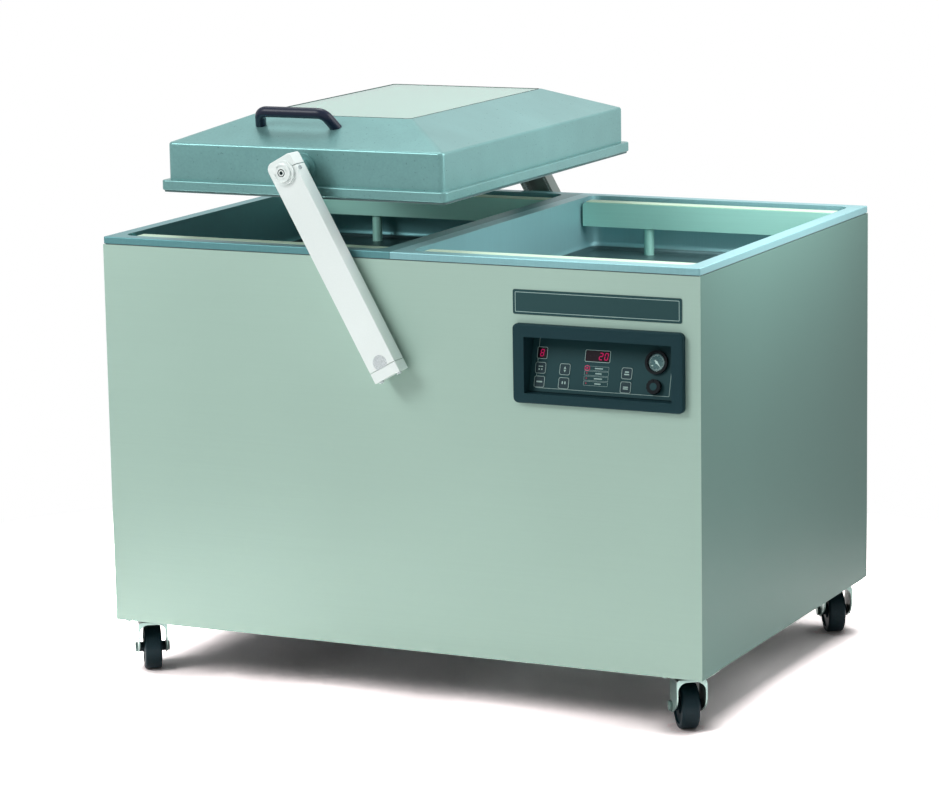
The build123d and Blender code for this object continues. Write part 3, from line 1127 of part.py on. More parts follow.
with BuildPart() as caster_plates:
    with BuildSketch(Plane.XY.offset(CASTER_HEIGHT)):
        with Locations(*CASTER_PLACES.values()):
            Rectangle(CASTER_PLATE[0], CASTER_PLATE[1])
            with GridLocations(CASTER_BOLTS[0], CASTER_BOLTS[1], 2, 2):
                Circle(CASTER_BOLTS[2] / 2, mode=Mode.SUBTRACT)
    extrude(amount=-CASTER_PLATE[2])
    with BuildSketch(Plane.XY.offset(CASTER_HEIGHT - CASTER_PLATE[2])):
        with Locations(*CASTER_PLACES.values()):
            Circle(RACE_DIAMETER / 2)
    extrude(amount=-RACE_HEIGHT)
    # kingpins with a head under the fork's crown
    with BuildSketch(Plane.XY.offset(RACE_BOTTOM)):
        with Locations(*CASTER_PLACES.values()):
            Circle(KINGPIN_DIAMETER / 2)
    extrude(amount=-(RACE_BOTTOM - CROWN_BOTTOM + SWIVEL_GAP))
    with BuildSketch(Plane.XY.offset(CROWN_BOTTOM - SWIVEL_GAP)):
        with Locations(*CASTER_PLACES.values()):
            Circle(KINGPIN_HEAD / 2)
    extrude(amount=-KINGPIN_HEAD_HEIGHT)


def caster_planes(corner):
    """Side view, front view and axle planes of one caster, turned as it stands."""
    turn = radians(CASTER_TURNS[corner])
    place = Vector(*CASTER_PLACES[corner], 0)
    trail = Vector(-sin(turn), cos(turn), 0)
    across = Vector(cos(turn), sin(turn), 0)
    side_view = Plane(origin=place, x_dir=trail, z_dir=across)
    front_view = Plane(origin=place, x_dir=across, z_dir=trail * -1)
    axle_view = Plane(origin=place + trail * TRAIL + Vector(0, 0, AXLE_Z), x_dir=trail, z_dir=across)
    return side_view, front_view, axle_view


def caster_fork(corner):
    """Pressed fork with its axle bolt; the bolt and its two nuts are a solid of their own."""
    side_view, front_view, axle_view = caster_planes(corner)
    with BuildPart() as fork:
        with BuildSketch(side_view):
            with Locations((0, CROWN_TOP - FORK_SHEET)):
                Rectangle(FORK_LENGTH, 2 * FORK_SHEET)
            with Locations((0, CROWN_TOP - FORK_CHEEK)):
                Circle(FORK_CHEEK)
            with Locations((TRAIL, AXLE_Z)):
                Circle(FORK_BOSS)
            make_hull()
        extrude(amount=FORK_OUTER, both=True)
        crown_edges = fork.faces().sort_by(Axis.Z)[-1].edges()
        fillet(crown_edges.filter_by(Axis((0, 0, 0), side_view.x_dir)), FORK_EDGE)
        # room for the wheel, open to the rear, and the arched mouth in the front wall
        with BuildSketch(front_view.offset(FORK_LENGTH / 2 - FORK_SHEET)):
            with Locations((0, CROWN_BOTTOM / 2)):
                Rectangle(2 * FORK_INNER, CROWN_BOTTOM)
        extrude(amount=-2 * FORK_LENGTH, mode=Mode.SUBTRACT)
        with BuildSketch(front_view) as mouth:
            with Locations((0, (CROWN_BOTTOM - FORK_APRON) / 2)):
                Rectangle(2 * FORK_INNER, CROWN_BOTTOM - FORK_APRON)
            fillet(mouth.vertices().group_by(Axis.Y)[-1], FORK_ARCH)
        extrude(amount=FORK_LENGTH, mode=Mode.SUBTRACT)
        with BuildSketch(Plane.XY.offset(CASTER_HEIGHT)):
            with Locations(CASTER_PLACES[corner]):
                Circle(KINGPIN_DIAMETER / 2 + SWIVEL_GAP)
        extrude(amount=-(CASTER_HEIGHT - CROWN_BOTTOM + FORK_SHEET), mode=Mode.SUBTRACT)
        with BuildSketch(axle_view):
            Circle(AXLE_DIAMETER / 2 + SEAT_GAP)
        extrude(amount=2 * FORK_OUTER, both=True, mode=Mode.SUBTRACT)
        with BuildSketch(axle_view):
            Circle(AXLE_DIAMETER / 2)
        extrude(amount=FORK_OUTER + AXLE_NUT_HEIGHT, both=True)
        for side in (-1, 1):
            with BuildSketch(axle_view.offset(side * (FORK_OUTER + SEAT_GAP))):
                RegularPolygon(AXLE_NUT / 2, 6, major_radius=False)
            extrude(amount=side * AXLE_NUT_HEIGHT)
    return fork


def caster_wheel(corner):
    """Solid wheel with rounded tread edges, a recessed web and a hub sleeve between the fork's cheeks."""
    axle_view = caster_planes(corner)[2]
    with BuildPart() as wheel:
        with BuildSketch(axle_view):
            Circle(WHEEL_DIAMETER / 2)
        extrude(amount=WHEEL_WIDTH / 2, both=True)
        fillet(wheel.edges().filter_by(GeomType.CIRCLE), WHEEL_ROUND)
        for side in (-1, 1):
            with BuildSketch(axle_view.offset(side * WHEEL_WIDTH / 2)):
                Circle(WHEEL_DIAMETER / 2 - WHEEL_TREAD)
                Circle(WHEEL_HUB / 2, mode=Mode.SUBTRACT)
            extrude(amount=-side * WHEEL_DISH, mode=Mode.SUBTRACT)
        with BuildSketch(axle_view):
            Circle(HUB_SLEEVE / 2)
        extrude(amount=FORK_INNER - HUB_GAP, both=True)
        with BuildSketch(axle_view):
            Circle(AXLE_DIAMETER / 2 + BEARING_FIT)
        extrude(amount=FORK_INNER, both=True, mode=Mode.SUBTRACT)
    return wheel


# === All the pieces, by name =======================================================================
pieces = {
    "chassis_frame": chassis_frame,
    "front_panel": front_panel,
    "rear_panel": rear_panel,
    "left_panel": left_panel,
    "right_panel": right_panel,
    "left_chamber": left_chamber,
    "right_chamber": right_chamber,
    "lift_cylinders": lift_cylinders,
    "badge_plate": badge_plate,
    "control_bezel": control_bezel,
    "control_plate": control_plate,
    "display_windows": display_windows,
    "gauge_case": gauge_case,
    "gauge_dial": gauge_dial,
    "gauge_lens": gauge_lens,
    "gauge_needle": gauge_needle,
    "regulator_knob": regulator_knob,
    "shaft_bearings": shaft_bearings,
    "swing_shaft": swing_shaft,
    "front_arm": front_arm,
    "rear_arm": rear_arm,
    "clamp_caps": clamp_caps,
    "level_chains": level_chains,
    "lid_pivots": lid_pivots,
    "pivot_hubs": pivot_hubs,
    "lid_shell": lid_shell,
    "lid_window": lid_window,
    "lid_gasket": lid_gasket,
    "lid_handle": lid_handle,
    "counter_bars": counter_bars,
    "vacuum_pump": vacuum_pump,
    "pump_motor": pump_motor,
    "control_box": control_box,
    "vacuum_pipes": vacuum_pipes,
    "suction_valves": suction_valves,
    "cable_gland": cable_gland,
    "balance_strut": balance_strut,
    "caster_plates": caster_plates,
}
for side_name, side in (("left", -1), ("right", 1)):
    for end_name, end in (("front", -1), ("rear", 1)):
        pieces[f"{side_name}_{end_name}_seal_bar"] = sealing_bar(side, end)
        pieces[f"{side_name}_{end_name}_seal_strip"] = sealing_strip(side, end)
for number, place in enumerate(KEY_PLACES, start=1):
    pieces[f"key_{number}"] = key(place)
for corner in CASTER_PLACES:
    pieces[f"{corner}_fork"] = caster_fork(corner)
    pieces[f"{corner}_wheel"] = caster_wheel(corner)

os.makedirs("parts", exist_ok=True)
for name, piece in pieces.items():
    piece.part.label = name
    export_step(piece.part, f"parts/{name}.step")
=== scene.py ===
import json
from math import atan, cos, pi, radians, sin

import bmesh
import bpy
from mathutils import Matrix, Vector


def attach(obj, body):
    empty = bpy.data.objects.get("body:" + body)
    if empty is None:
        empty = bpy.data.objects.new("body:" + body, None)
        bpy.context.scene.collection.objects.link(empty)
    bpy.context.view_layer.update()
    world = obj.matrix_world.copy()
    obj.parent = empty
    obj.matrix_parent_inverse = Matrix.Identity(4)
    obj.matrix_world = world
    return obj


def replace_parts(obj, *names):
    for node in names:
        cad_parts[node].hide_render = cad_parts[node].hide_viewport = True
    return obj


# Looks of a floor-standing double-chamber vacuum packing machine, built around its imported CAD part.
# Metres, +Z up, the operator stands on the -Y side.

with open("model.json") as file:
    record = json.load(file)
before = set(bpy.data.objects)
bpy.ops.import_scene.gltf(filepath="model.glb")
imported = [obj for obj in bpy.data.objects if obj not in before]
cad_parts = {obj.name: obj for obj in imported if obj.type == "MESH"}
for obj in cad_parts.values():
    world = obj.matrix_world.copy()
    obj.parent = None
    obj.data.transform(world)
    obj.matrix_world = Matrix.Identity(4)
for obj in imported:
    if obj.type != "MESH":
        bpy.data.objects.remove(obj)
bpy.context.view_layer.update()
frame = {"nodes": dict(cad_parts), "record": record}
nodes = frame["nodes"]
scene = bpy.context.scene
scene.view_settings.view_transform = "Standard"

# --- Sizes of the CAD part that the looks line up with -----------------------------------------------
HALF_DEPTH = 0.5            # cabinet's middle to its front and rear panels
CHAMBER_FLOOR = 0.864       # up to here a chamber's surface is its floor and the rounding round it
SHAFT_HEIGHT = 0.755
ARM_LENGTH = 0.448          # shaft to lid pivot
ARM_TILT = radians(29)      # from upright, towards the left chamber
ARM_WIDTH = 0.066
CAP_FOOT = 0.0345           # shaft to the clamp cap's underside
PIVOT_ABOVE_FLANGE = 0.0595
LID_HEIGHT = 0.1546


# --- Materials -------------------------------------------------------------------------------------
def linear(red, green, blue):
    """8-bit sRGB to a linear colour."""
    channels = []
    for value in (red, green, blue):
        share = value / 255
        channels.append(share / 12.92 if share <= 0.04045 else ((share + 0.055) / 1.055) ** 2.4)
    return (*channels, 1.0)


def ramp(tree, factor, low, high, start, end, shape="LINEAR"):
    """start where factor is low, end where it is high, and a blend between."""
    made = tree.nodes.new("ShaderNodeMapRange")
    made.interpolation_type = shape
    for label, value in (("From Min", low), ("From Max", high), ("To Min", start), ("To Max", end)):
        made.inputs[label].default_value = value
    tree.links.new(factor, made.inputs["Value"])
    return made.outputs["Result"]


def scaled(tree, source, factor):
    """source, a colour or another node's output, times factor."""
    made = tree.nodes.new("ShaderNodeVectorMath")
    made.operation = "SCALE"
    if isinstance(source, tuple):
        made.inputs[0].default_value = source[:3]
    else:
        tree.links.new(source, made.inputs[0])
    tree.links.new(factor, made.inputs["Scale"])
    return made.outputs["Vector"]


def component(tree, vector, axis):
    split = tree.nodes.new("ShaderNodeSeparateXYZ")
    tree.links.new(vector, split.inputs["Vector"])
    return split.outputs[axis]


def openness(tree, distance, samples):
    """1 in the open, and less where other surfaces stand within the distance."""
    made = tree.nodes.new("ShaderNodeAmbientOcclusion")
    made.samples = samples
    made.inputs["Distance"].default_value = distance
    return made.outputs["AO"]


NOISE_SPAN = (0.3, 0.7)     # where nearly all of a noise texture's values lie
CREVICE_WIDTH = 0.03
FLOOR_BLEND = 0.002         # height over which a chamber's floor turns into its wall


def finish_material(name, colour, roughness, metallic=0.0, vary=0.10, grain=60, rough_vary=0.08,
                    bump=0.0, bump_grain=None, cloud=2.5, cloud_vary=0.05, coat=0.0, specular=0.5,
                    transmission=0.0, ior=1.45, glow=0.0, crevice_shade=None, deep_shade=None, shaded_share=None,
                    light_fade=None):
    """A procedural finish: fine grain and broad clouding in colour, grain in roughness, optional bump.

    grain and bump_grain are one number, or one each for X, Y and Z. crevice_shade is the share of the
    colour left in narrow gaps, as painted shade; deep_shade is (height, share) for painted shade on what
    lies below a height; shaded_share is the share, as painted shade, for faces that don't look along +Y;
    and light_fade is (axis, low, high, share at low, share at high), a painted gradient of light."""
    made = bpy.data.materials.new(name)
    made.use_nodes = True
    tree = made.node_tree
    shader = tree.nodes["Principled BSDF"]
    for label, value in (("Metallic", metallic), ("Coat Weight", coat), ("Specular IOR Level", specular),
                         ("Transmission Weight", transmission), ("IOR", ior)):
        shader.inputs[label].default_value = value
    place = tree.nodes.new("ShaderNodeTexCoord")
    point = place.outputs["Object"]

    def noise(scale, detail):
        mapping = tree.nodes.new("ShaderNodeMapping")
        mapping.inputs["Scale"].default_value = scale if isinstance(scale, tuple) else (scale,) * 3
        tree.links.new(point, mapping.inputs["Vector"])
        texture = tree.nodes.new("ShaderNodeTexNoise")
        texture.inputs["Scale"].default_value = 1.0
        texture.inputs["Detail"].default_value = detail
        tree.links.new(mapping.outputs["Vector"], texture.inputs["Vector"])
        return texture.outputs["Fac"]

    def dim(source, factor, low, high, share, high_share=1.0):
        """source at one share of itself where factor is low, and at another where it is high."""
        return scaled(tree, source, ramp(tree, factor, low, high, share, high_share))

    fine = noise(grain, 3.0)
    broad = noise(cloud, 2.0)
    tint = dim(colour, fine, *NOISE_SPAN, 1 - vary, 1 + vary)
    tint = dim(tint, broad, *NOISE_SPAN, 1 - cloud_vary, 1 + cloud_vary)
    # painted shade in narrow gaps
    if crevice_shade is not None:
        tint = dim(tint, openness(tree, CREVICE_WIDTH, 8), 0.35, 0.85, crevice_shade)
    # painted shade below a height, such as a chamber's floor
    if deep_shade is not None:
        height, share = deep_shade
        tint = dim(tint, component(tree, point, "Z"), height, height + FLOOR_BLEND, share)
    # painted shade on faces that don't look along +Y
    if shaded_share is not None:
        tint = dim(tint, component(tree, place.outputs["Normal"], "Y"), 0.4, 0.7, shaded_share)
    # painted gradient of light along an axis
    if light_fade is not None:
        axis, *span = light_fade
        tint = dim(tint, component(tree, point, axis), *span)
    tree.links.new(tint, shader.inputs["Base Color"])
    rough = ramp(tree, fine, 0.0, 1.0, max(0.02, roughness - rough_vary), min(1.0, roughness + rough_vary))
    tree.links.new(rough, shader.inputs["Roughness"])
    if bump:
        relief = tree.nodes.new("ShaderNodeBump")
        relief.inputs["Strength"].default_value = bump
        relief.inputs["Distance"].default_value = 0.0006
        tree.links.new(noise(bump_grain or grain, 4.0), relief.inputs["Height"])
        tree.links.new(relief.outputs["Normal"], shader.inputs["Normal"])
    if glow:
        tree.links.new(tint, shader.inputs["Emission Color"])
        shader.inputs["Emission Strength"].default_value = glow
    return made


BRUSHED = {"metallic": 0.15, "grain": (3, 3, 900), "rough_vary": 0.05, "bump": 0.05,
           "bump_grain": (6, 6, 1500), "cloud": 1.2}
DRAWN = {"metallic": 0.4, "vary": 0.03, "grain": (400, 400, 12), "rough_vary": 0.06, "bump": 0.04,
         "specular": 0.12}
BLASTED = {"metallic": 0.25, "vary": 0.02, "grain": 900, "bump": 0.12}

# painted light: the panel steel is lighter towards the top and darker towards the bottom
panel_steel = finish_material("panel_steel", linear(168, 195, 183), 0.46, vary=0.014, specular=0.25,
                              light_fade=("Z", 0.12, 1.0, 0.91, 1.08), **BRUSHED)
# painted shade: the side panels are a darker copy of the panel steel, and darker still towards the rear
shaded_side_steel = finish_material("shaded_side_steel", linear(97, 133, 125), 0.46, vary=0.012, specular=0.2,
                             light_fade=("Y", -0.5, 0.5, 1.08, 0.86), **BRUSHED)
# one steel in two copies with painted light and shade: the left chamber, under the lid, shaded, the right
# one lit; each with painted shade on its floor
shaded_chamber = finish_material("shaded_chamber", linear(94, 142, 146), 0.38,
                                 deep_shade=(CHAMBER_FLOOR, 0.14), **DRAWN)
lit_chamber = finish_material("lit_chamber", linear(136, 182, 187), 0.38,
                               deep_shade=(CHAMBER_FLOOR, 0.27), **DRAWN)
frame_paint = finish_material("frame_paint", linear(120, 130, 132), 0.5, vary=0.06, grain=500, bump=0.2)
alloy = finish_material("alloy", linear(160, 216, 204), 0.40, metallic=0.3, vary=0.03,
                        grain=(4, 900, 900))
arm_alloy = finish_material("arm_alloy", linear(232, 240, 238), 0.42, **BLASTED)
# painted shade: the rear arm's faces that don't look to the rear are darker, as in the lid's shade
shaded_rear_arm_alloy = finish_material("shaded_rear_arm_alloy", linear(222, 240, 234), 0.42, shaded_share=0.28, **BLASTED)
lid_alloy = finish_material("lid_alloy", linear(113, 156, 155), 0.30, metallic=0.42, vary=0.05,
                            grain=220, rough_vary=0.06, bump=0.22, bump_grain=150, cloud=9.0,
                            cloud_vary=0.05, specular=0.15)
turned_steel = finish_material("turned_steel", linear(190, 198, 200), 0.28, metallic=0.9, vary=0.04,
                               grain=(900, 30, 900))
slate = finish_material("slate", linear(48, 78, 80), 0.45, vary=0.05, grain=1200, specular=0.15)
pale_ink = finish_material("pale_ink", linear(168, 198, 193), 0.6, vary=0.04, grain=2000)
white_ink = finish_material("white_ink", linear(215, 228, 226), 0.6, vary=0.03, grain=2000)
bezel_moulding = finish_material("bezel_moulding", linear(24, 54, 60), 0.55, vary=0.08, grain=1500,
                                 bump=0.35, bump_grain=2400, specular=0.15)
face_film = finish_material("face_film", linear(31, 66, 70), 0.5, vary=0.05, grain=1800, bump=0.1,
                            specular=0.15)
dark_glass = finish_material("dark_glass", linear(26, 9, 22), 0.25, vary=0.05, grain=200,
                             specular=0.12)
black_moulding = finish_material("black_moulding", linear(8, 17, 21), 0.5, vary=0.10, grain=1500,
                                 bump=0.2, specular=0.12)
dial_print = finish_material("dial_print", linear(84, 112, 116), 0.55, vary=0.05, grain=1500,
                             specular=0.1)
clear_lens = finish_material("clear_lens", linear(240, 248, 246), 0.04, vary=0.01, transmission=1.0,
                             ior=1.12, rough_vary=0.02, specular=0.1)
window_acrylic = finish_material("window_acrylic", linear(148, 206, 190), 0.05, vary=0.01, cloud=3.0,
                                 transmission=0.48, ior=1.3, specular=0.3, rough_vary=0.02,
                                 cloud_vary=0.02)
gasket_rubber = finish_material("gasket_rubber", linear(96, 118, 118), 0.7, vary=0.10, grain=800,
                                bump=0.2, specular=0.2)
# dark seal rubber, also used as painted shade in the lid pivots' groove and socket
seal_rubber_and_shade = finish_material("seal_rubber_and_shade", linear(26, 40, 42), 0.7, vary=0.10, grain=800, bump=0.2,
                              specular=0.15)
handle_moulding = finish_material("handle_moulding", linear(12, 24, 46), 0.34, vary=0.08, grain=700,
                                  bump=0.05, specular=0.3)
pump_paint = finish_material("pump_paint", linear(70, 84, 92), 0.45, vary=0.10, grain=250, bump=0.4)
motor_paint = finish_material("motor_paint", linear(96, 108, 114), 0.4, vary=0.08, grain=300, bump=0.25)
hose_rubber = finish_material("hose_rubber", linear(30, 34, 36), 0.6, vary=0.10, grain=(40, 40, 700),
                              bump=0.5)
strut_gloss = finish_material("strut_gloss", linear(18, 20, 22), 0.2, vary=0.06, grain=300, coat=0.5)
# painted shade: the zinc is darker in narrow gaps, such as inside the caster forks
zinc = finish_material("zinc", linear(142, 168, 162), 0.32, metallic=0.6, vary=0.10, grain=160,
                       rough_vary=0.10, crevice_shade=0.12)
seal_tape = finish_material("seal_tape", linear(186, 210, 188), 0.7, vary=0.08, grain=1400, bump=0.5)
key_film = finish_material("key_film", linear(38, 60, 66), 0.4, vary=0.05, grain=1800, specular=0.15)
wheel_rubber = finish_material("wheel_rubber", linear(16, 36, 42), 0.45, vary=0.14, grain=350,
                               bump=0.15, specular=0.15)
red_light = finish_material("red_light", linear(192, 20, 88), 0.5, vary=0.04, grain=900, glow=0.5,
                            specular=0.1)
dull_red = finish_material("dull_red", linear(150, 40, 66), 0.5, vary=0.05, grain=900)

slot_finishes = {
    "frame_steel": frame_paint, "panel_steel": panel_steel, "alloy": alloy, "slate_plate": slate,
    "bezel_plastic": bezel_moulding, "face_plastic": face_film, "display_glass": dark_glass,
    "black_plastic": black_moulding, "dial_white": dial_print, "clear_lens": clear_lens,
    "machined_steel": turned_steel, "arm_alloy": arm_alloy, "lid_alloy": lid_alloy,
    "window_acrylic": window_acrylic, "gasket_rubber": gasket_rubber, "handle_plastic": handle_moulding,
    "pump_iron": pump_paint, "motor_paint": motor_paint, "pipe_rubber": hose_rubber,
    "strut_paint": strut_gloss, "zinc_steel": zinc, "seal_tape": seal_tape, "key_plastic": key_film,
    "wheel_tyre": wheel_rubber,
}
# nodes that don't look like their slot's finish: shaded or lit copies, with painted shade and light,
# for the side panels, chambers and rear arm, and other finishes for the pivots and hubs
node_finishes = {
    "left_panel": shaded_side_steel, "right_panel": shaded_side_steel, "left_chamber": shaded_chamber,
    "right_chamber": lit_chamber, "rear_arm": shaded_rear_arm_alloy, "lid_pivots": arm_alloy,
    "pivot_hubs": lid_alloy,
}
for part in frame["record"]["subparts"]:
    surface = nodes[part["node"]]
    surface.data.materials.clear()
    surface.data.materials.append(node_finishes.get(part["node"]) or slot_finishes[part["material_slot"]])


def soften(name, width):
    """A small rounded edge on a CAD node, by a modifier."""
    bevel = nodes[name].modifiers.new("edge", "BEVEL")
    bevel.width = width
    bevel.segments = 2
    bevel.limit_method = "ANGLE"
    bevel.angle_limit = radians(40)
    bevel.harden_normals = True


for name in ("front_arm", "rear_arm", "clamp_caps", "left_chamber", "right_chamber"):
    soften(name, 0.0006)
for name in ("front_panel", "left_panel", "right_panel", "rear_panel"):
    soften(name, 0.0005)


# --- Helpers for the small pieces ------------------------------------------------------------------
class Face:
    """A plane to draw on: an origin, two directions along it and its normal."""

    def __init__(self, origin, along, up):
        self.origin = Vector(origin)
        self.along = Vector(along).normalized()
        self.up = Vector(up).normalized()
        self.out = self.along.cross(self.up)

    def at(self, u, v, w=0.0):
        return self.origin + self.along * u + self.up * v + self.out * w


def prism(bm, face, outline, low, high):
    """Adds a closed prism over an outline of (u, v) points, between two heights above the face."""
    bottom = [bm.verts.new(face.at(u, v, low)) for u, v in outline]
    top = [bm.verts.new(face.at(u, v, high)) for u, v in outline]
    bm.faces.new(top)
    bm.faces.new(bottom[::-1])
    for i in range(len(outline)):
        j = (i + 1) % len(outline)
        bm.faces.new((bottom[i], bottom[j], top[j], top[i]))


def ring(bm, face, outer, inner, low, high):
    """Adds a closed band between two outlines with the same number of points."""
    count = len(outer)
    loops = []
    for outline, height in ((outer, low), (outer, high), (inner, high), (inner, low)):
        loops.append([bm.verts.new(face.at(u, v, height)) for u, v in outline])
    for a in range(4):
        for i in range(count):
            j = (i + 1) % count
            bm.faces.new((loops[a][i], loops[a][j], loops[(a + 1) % 4][j], loops[(a + 1) % 4][i]))


def rounded(width, height, radius, centre=(0, 0), steps=5):
    """Outline of a rounded rectangle."""
    points = []
    for k, (sx, sy) in enumerate(((1, 1), (-1, 1), (-1, -1), (1, -1))):
        for step in range(steps + 1):
            angle = pi / 2 * (k + step / steps)
            points.append((
                centre[0] + sx * (width / 2 - radius) + radius * cos(angle),
                centre[1] + sy * (height / 2 - radius) + radius * sin(angle),
            ))
    return points


def circle(radius, centre=(0, 0), count=32):
    """Outline of a circle, or with a small count of a regular polygon."""
    angles = [2 * pi * i / count for i in range(count)]
    return [(centre[0] + radius * cos(angle), centre[1] + radius * sin(angle)) for angle in angles]


INK = 0.00012               # thickness of a print


def border(bm, face, width, height, line, radii, centre=(0, 0), low=0.0, high=INK):
    """Adds a rounded frame of an even line. radii are those of its outer and inner corners."""
    outer = rounded(width, height, radii[0], centre)
    inner = rounded(width - 2 * line, height - 2 * line, radii[1], centre)
    ring(bm, face, outer, inner, low, high)


def piece(name, build, material, body, bevel=0.0):
    """Makes an object from a bmesh builder, finished and riding on a body."""
    bm = bmesh.new()
    build(bm)
    bmesh.ops.recalc_face_normals(bm, faces=bm.faces)
    mesh = bpy.data.meshes.new(name)
    bm.to_mesh(mesh)
    bm.free()
    made = bpy.data.objects.new(name, mesh)
    scene.collection.objects.link(made)
    mesh.materials.append(material)
    if bevel:
        edge = made.modifiers.new("edge", "BEVEL")
        edge.width = bevel
        edge.segments = 2
    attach(made, body)
    return made


# --- Control unit ----------------------------------------------------------------------------------
RECESS_RUN, RECESS_HEIGHT = 0.0325, 0.118
RECESS_TILT = atan(RECESS_RUN / RECESS_HEIGHT)
PLATE_X, PLATE_Z = 0.477, 0.763
PLATE_BEHIND = 0.02345      # the plate's middle behind the front panel
control = Face((PLATE_X, -HALF_DEPTH + PLATE_BEHIND, PLATE_Z), (1, 0, 0),
               (0, sin(RECESS_TILT), cos(RECESS_TILT)))
KEYS = [(u, v) for v in (-0.0102, -0.0391) for u in (-0.1417, -0.0867, 0.0522)]
KEY_TOP = 0.0007
SMALL_DISPLAY, LARGE_DISPLAY = (-0.141, 0.0205), (-0.016, 0.054)    # centre and width
DISPLAY_ROW = 0.0211
DISPLAY_TOP = 0.0004
GAUGE = (0.1165, 0.0161)
DIAL_TOP = 0.0018
KNOB = (0.1165, -0.034)
LAMP_COLUMN = -0.037
BAR_COLUMN = -0.0155
LAMP_ROWS = [-0.0043 - 0.01055 * row for row in range(4)]


def plate_print(bm):
    border(bm, control, 0.300, 0.1045, 0.0008, (0.002, 0.0014))
    # frames of the four indicator rows, with plain bars for their words
    for number, row in enumerate(LAMP_ROWS):
        border(bm, control, 0.054, 0.0088, 0.0004, (0.001, 0.0007), (BAR_COLUMN, row))
        length = 0.014 if number % 2 else 0.018
        prism(bm, control, rounded(length, 0.0022, 0.0004, (BAR_COLUMN + 0.0045, row)), 0, INK)
    for centre, width in (SMALL_DISPLAY, LARGE_DISPLAY):
        border(bm, control, width + 0.0028, 0.0251, 0.001, (0.0034, 0.0026), (centre, DISPLAY_ROW),
               high=3 * INK)


piece("plate_print", plate_print, pale_ink, "cabinet")


def indicator_lamps(bm):
    for row in LAMP_ROWS[1:]:
        prism(bm, control, circle(0.0016, (LAMP_COLUMN, row), 16), 0, 0.0008)


piece("indicator_lamps", indicator_lamps, dull_red, "cabinet", 0.0003)


def lit_lamp(bm):
    lamp_place = (LAMP_COLUMN, LAMP_ROWS[0])
    prism(bm, control, circle(0.0017, lamp_place, 16), 0, 0.001)
    ring(bm, control, circle(0.0058, lamp_place), circle(0.0048, lamp_place), 0, 2 * INK)


piece("lit_lamp", lit_lamp, red_light, "cabinet")

SEGMENTS = {"8": "abcdefg", "2": "abged", "0": "abcdef"}
DIGIT_HEIGHT = 0.0135
DIGIT_SLANT = 0.12


def digit(bm, character, centre):
    """A slanted seven-segment digit in the display row."""
    half, quarter, thick = DIGIT_HEIGHT / 2, DIGIT_HEIGHT / 4, DIGIT_HEIGHT * 0.13
    width = DIGIT_HEIGHT * 0.5
    # each segment's middle, and whether it lies flat
    bars = {
        "a": (0, half, 1), "g": (0, 0, 1), "d": (0, -half, 1), "f": (-width / 2, quarter, 0),
        "b": (width / 2, quarter, 0), "e": (-width / 2, -quarter, 0), "c": (width / 2, -quarter, 0),
    }
    for name in SEGMENTS[character]:
        u, v, flat = bars[name]
        end = (width if flat else half) / 2 - thick * 0.125
        shape = [(-end, 0), (thick / 2 - end, thick / 2), (end - thick / 2, thick / 2),
                 (end, 0), (end - thick / 2, -thick / 2), (thick / 2 - end, -thick / 2)]
        if not flat:
            shape = [(-b, a) for a, b in shape]
        points = [(centre + u + a + (v + b) * DIGIT_SLANT, DISPLAY_ROW + v + b) for a, b in shape]
        prism(bm, control, points, DISPLAY_TOP, DISPLAY_TOP + INK)


def shown_digits(bm):
    digit(bm, "8", -0.141)
    digit(bm, "2", -0.0085)
    digit(bm, "0", 0.0035)


piece("shown_digits", shown_digits, red_light, "cabinet")


def key_print(number, place):
    """Pale outline of a key and a plain sign on it."""
    u, v = place

    def block(width, height, radius, right, up):
        return rounded(width, height, radius, (u + right, v + up))

    def arrow(way):
        foot = v + 0.001 * way
        return [(u - 0.0026 * way, foot), (u + 0.0026 * way, foot), (u, v + 0.0062 * way)]

    def build(bm):
        border(bm, control, 0.0236, 0.0236, 0.0009, (0.0042, 0.0034), place, KEY_TOP, KEY_TOP + INK)
        signs = (
            (block(0.010, 0.0018, 0.0004, 0, 0.003), block(0.003, 0.003, 0.0004, -0.003, -0.003),
             block(0.003, 0.003, 0.0004, 0.003, -0.003)),
            (arrow(1), arrow(-1)),
            (block(0.009, 0.0026, 0.001, 0, 0.0028), block(0.011, 0.0026, 0.001, 0, -0.0022)),
            (block(0.013, 0.0030, 0.0006, 0, 0),),
            (block(0.0026, 0.0055, 0.0005, -0.003, 0.001), block(0.0026, 0.0055, 0.0005, 0.003, 0.001)),
            (block(0.011, 0.0022, 0.0006, 0, 0.0006), block(0.011, 0.0022, 0.0006, 0, -0.003)),
        )
        for outline in signs[number]:
            prism(bm, control, outline, KEY_TOP, KEY_TOP + INK)
    return build


for number, place in enumerate(KEYS):
    piece(f"key_{number + 1}_print", key_print(number, place), pale_ink, f"key_{number + 1}_cap")


def dial_marks(bm):
    """Long and short strokes all round the gauge's dial, and a bar in place of its unit."""
    for stroke in range(36):
        angle = radians(10 * stroke)
        start, end = (0.0128 if stroke % 3 == 0 else 0.0145), 0.0165
        a, b = Vector((cos(angle), sin(angle))), Vector((-sin(angle), cos(angle))) * 0.00028
        corners = [a * start - b, a * end - b, a * end + b, a * start + b]
        outline = [(GAUGE[0] + p.x, GAUGE[1] + p.y) for p in corners]
        prism(bm, control, outline, DIAL_TOP, DIAL_TOP + INK)
    unit_bar = rounded(0.0032, 0.0022, 0.0006, (GAUGE[0] - 0.0092, GAUGE[1] - 0.0068))
    prism(bm, control, unit_bar, DIAL_TOP, DIAL_TOP + INK)


piece("dial_marks", dial_marks, white_ink, "cabinet")

POINTER_REST = radians(-46)     # from the dial's right


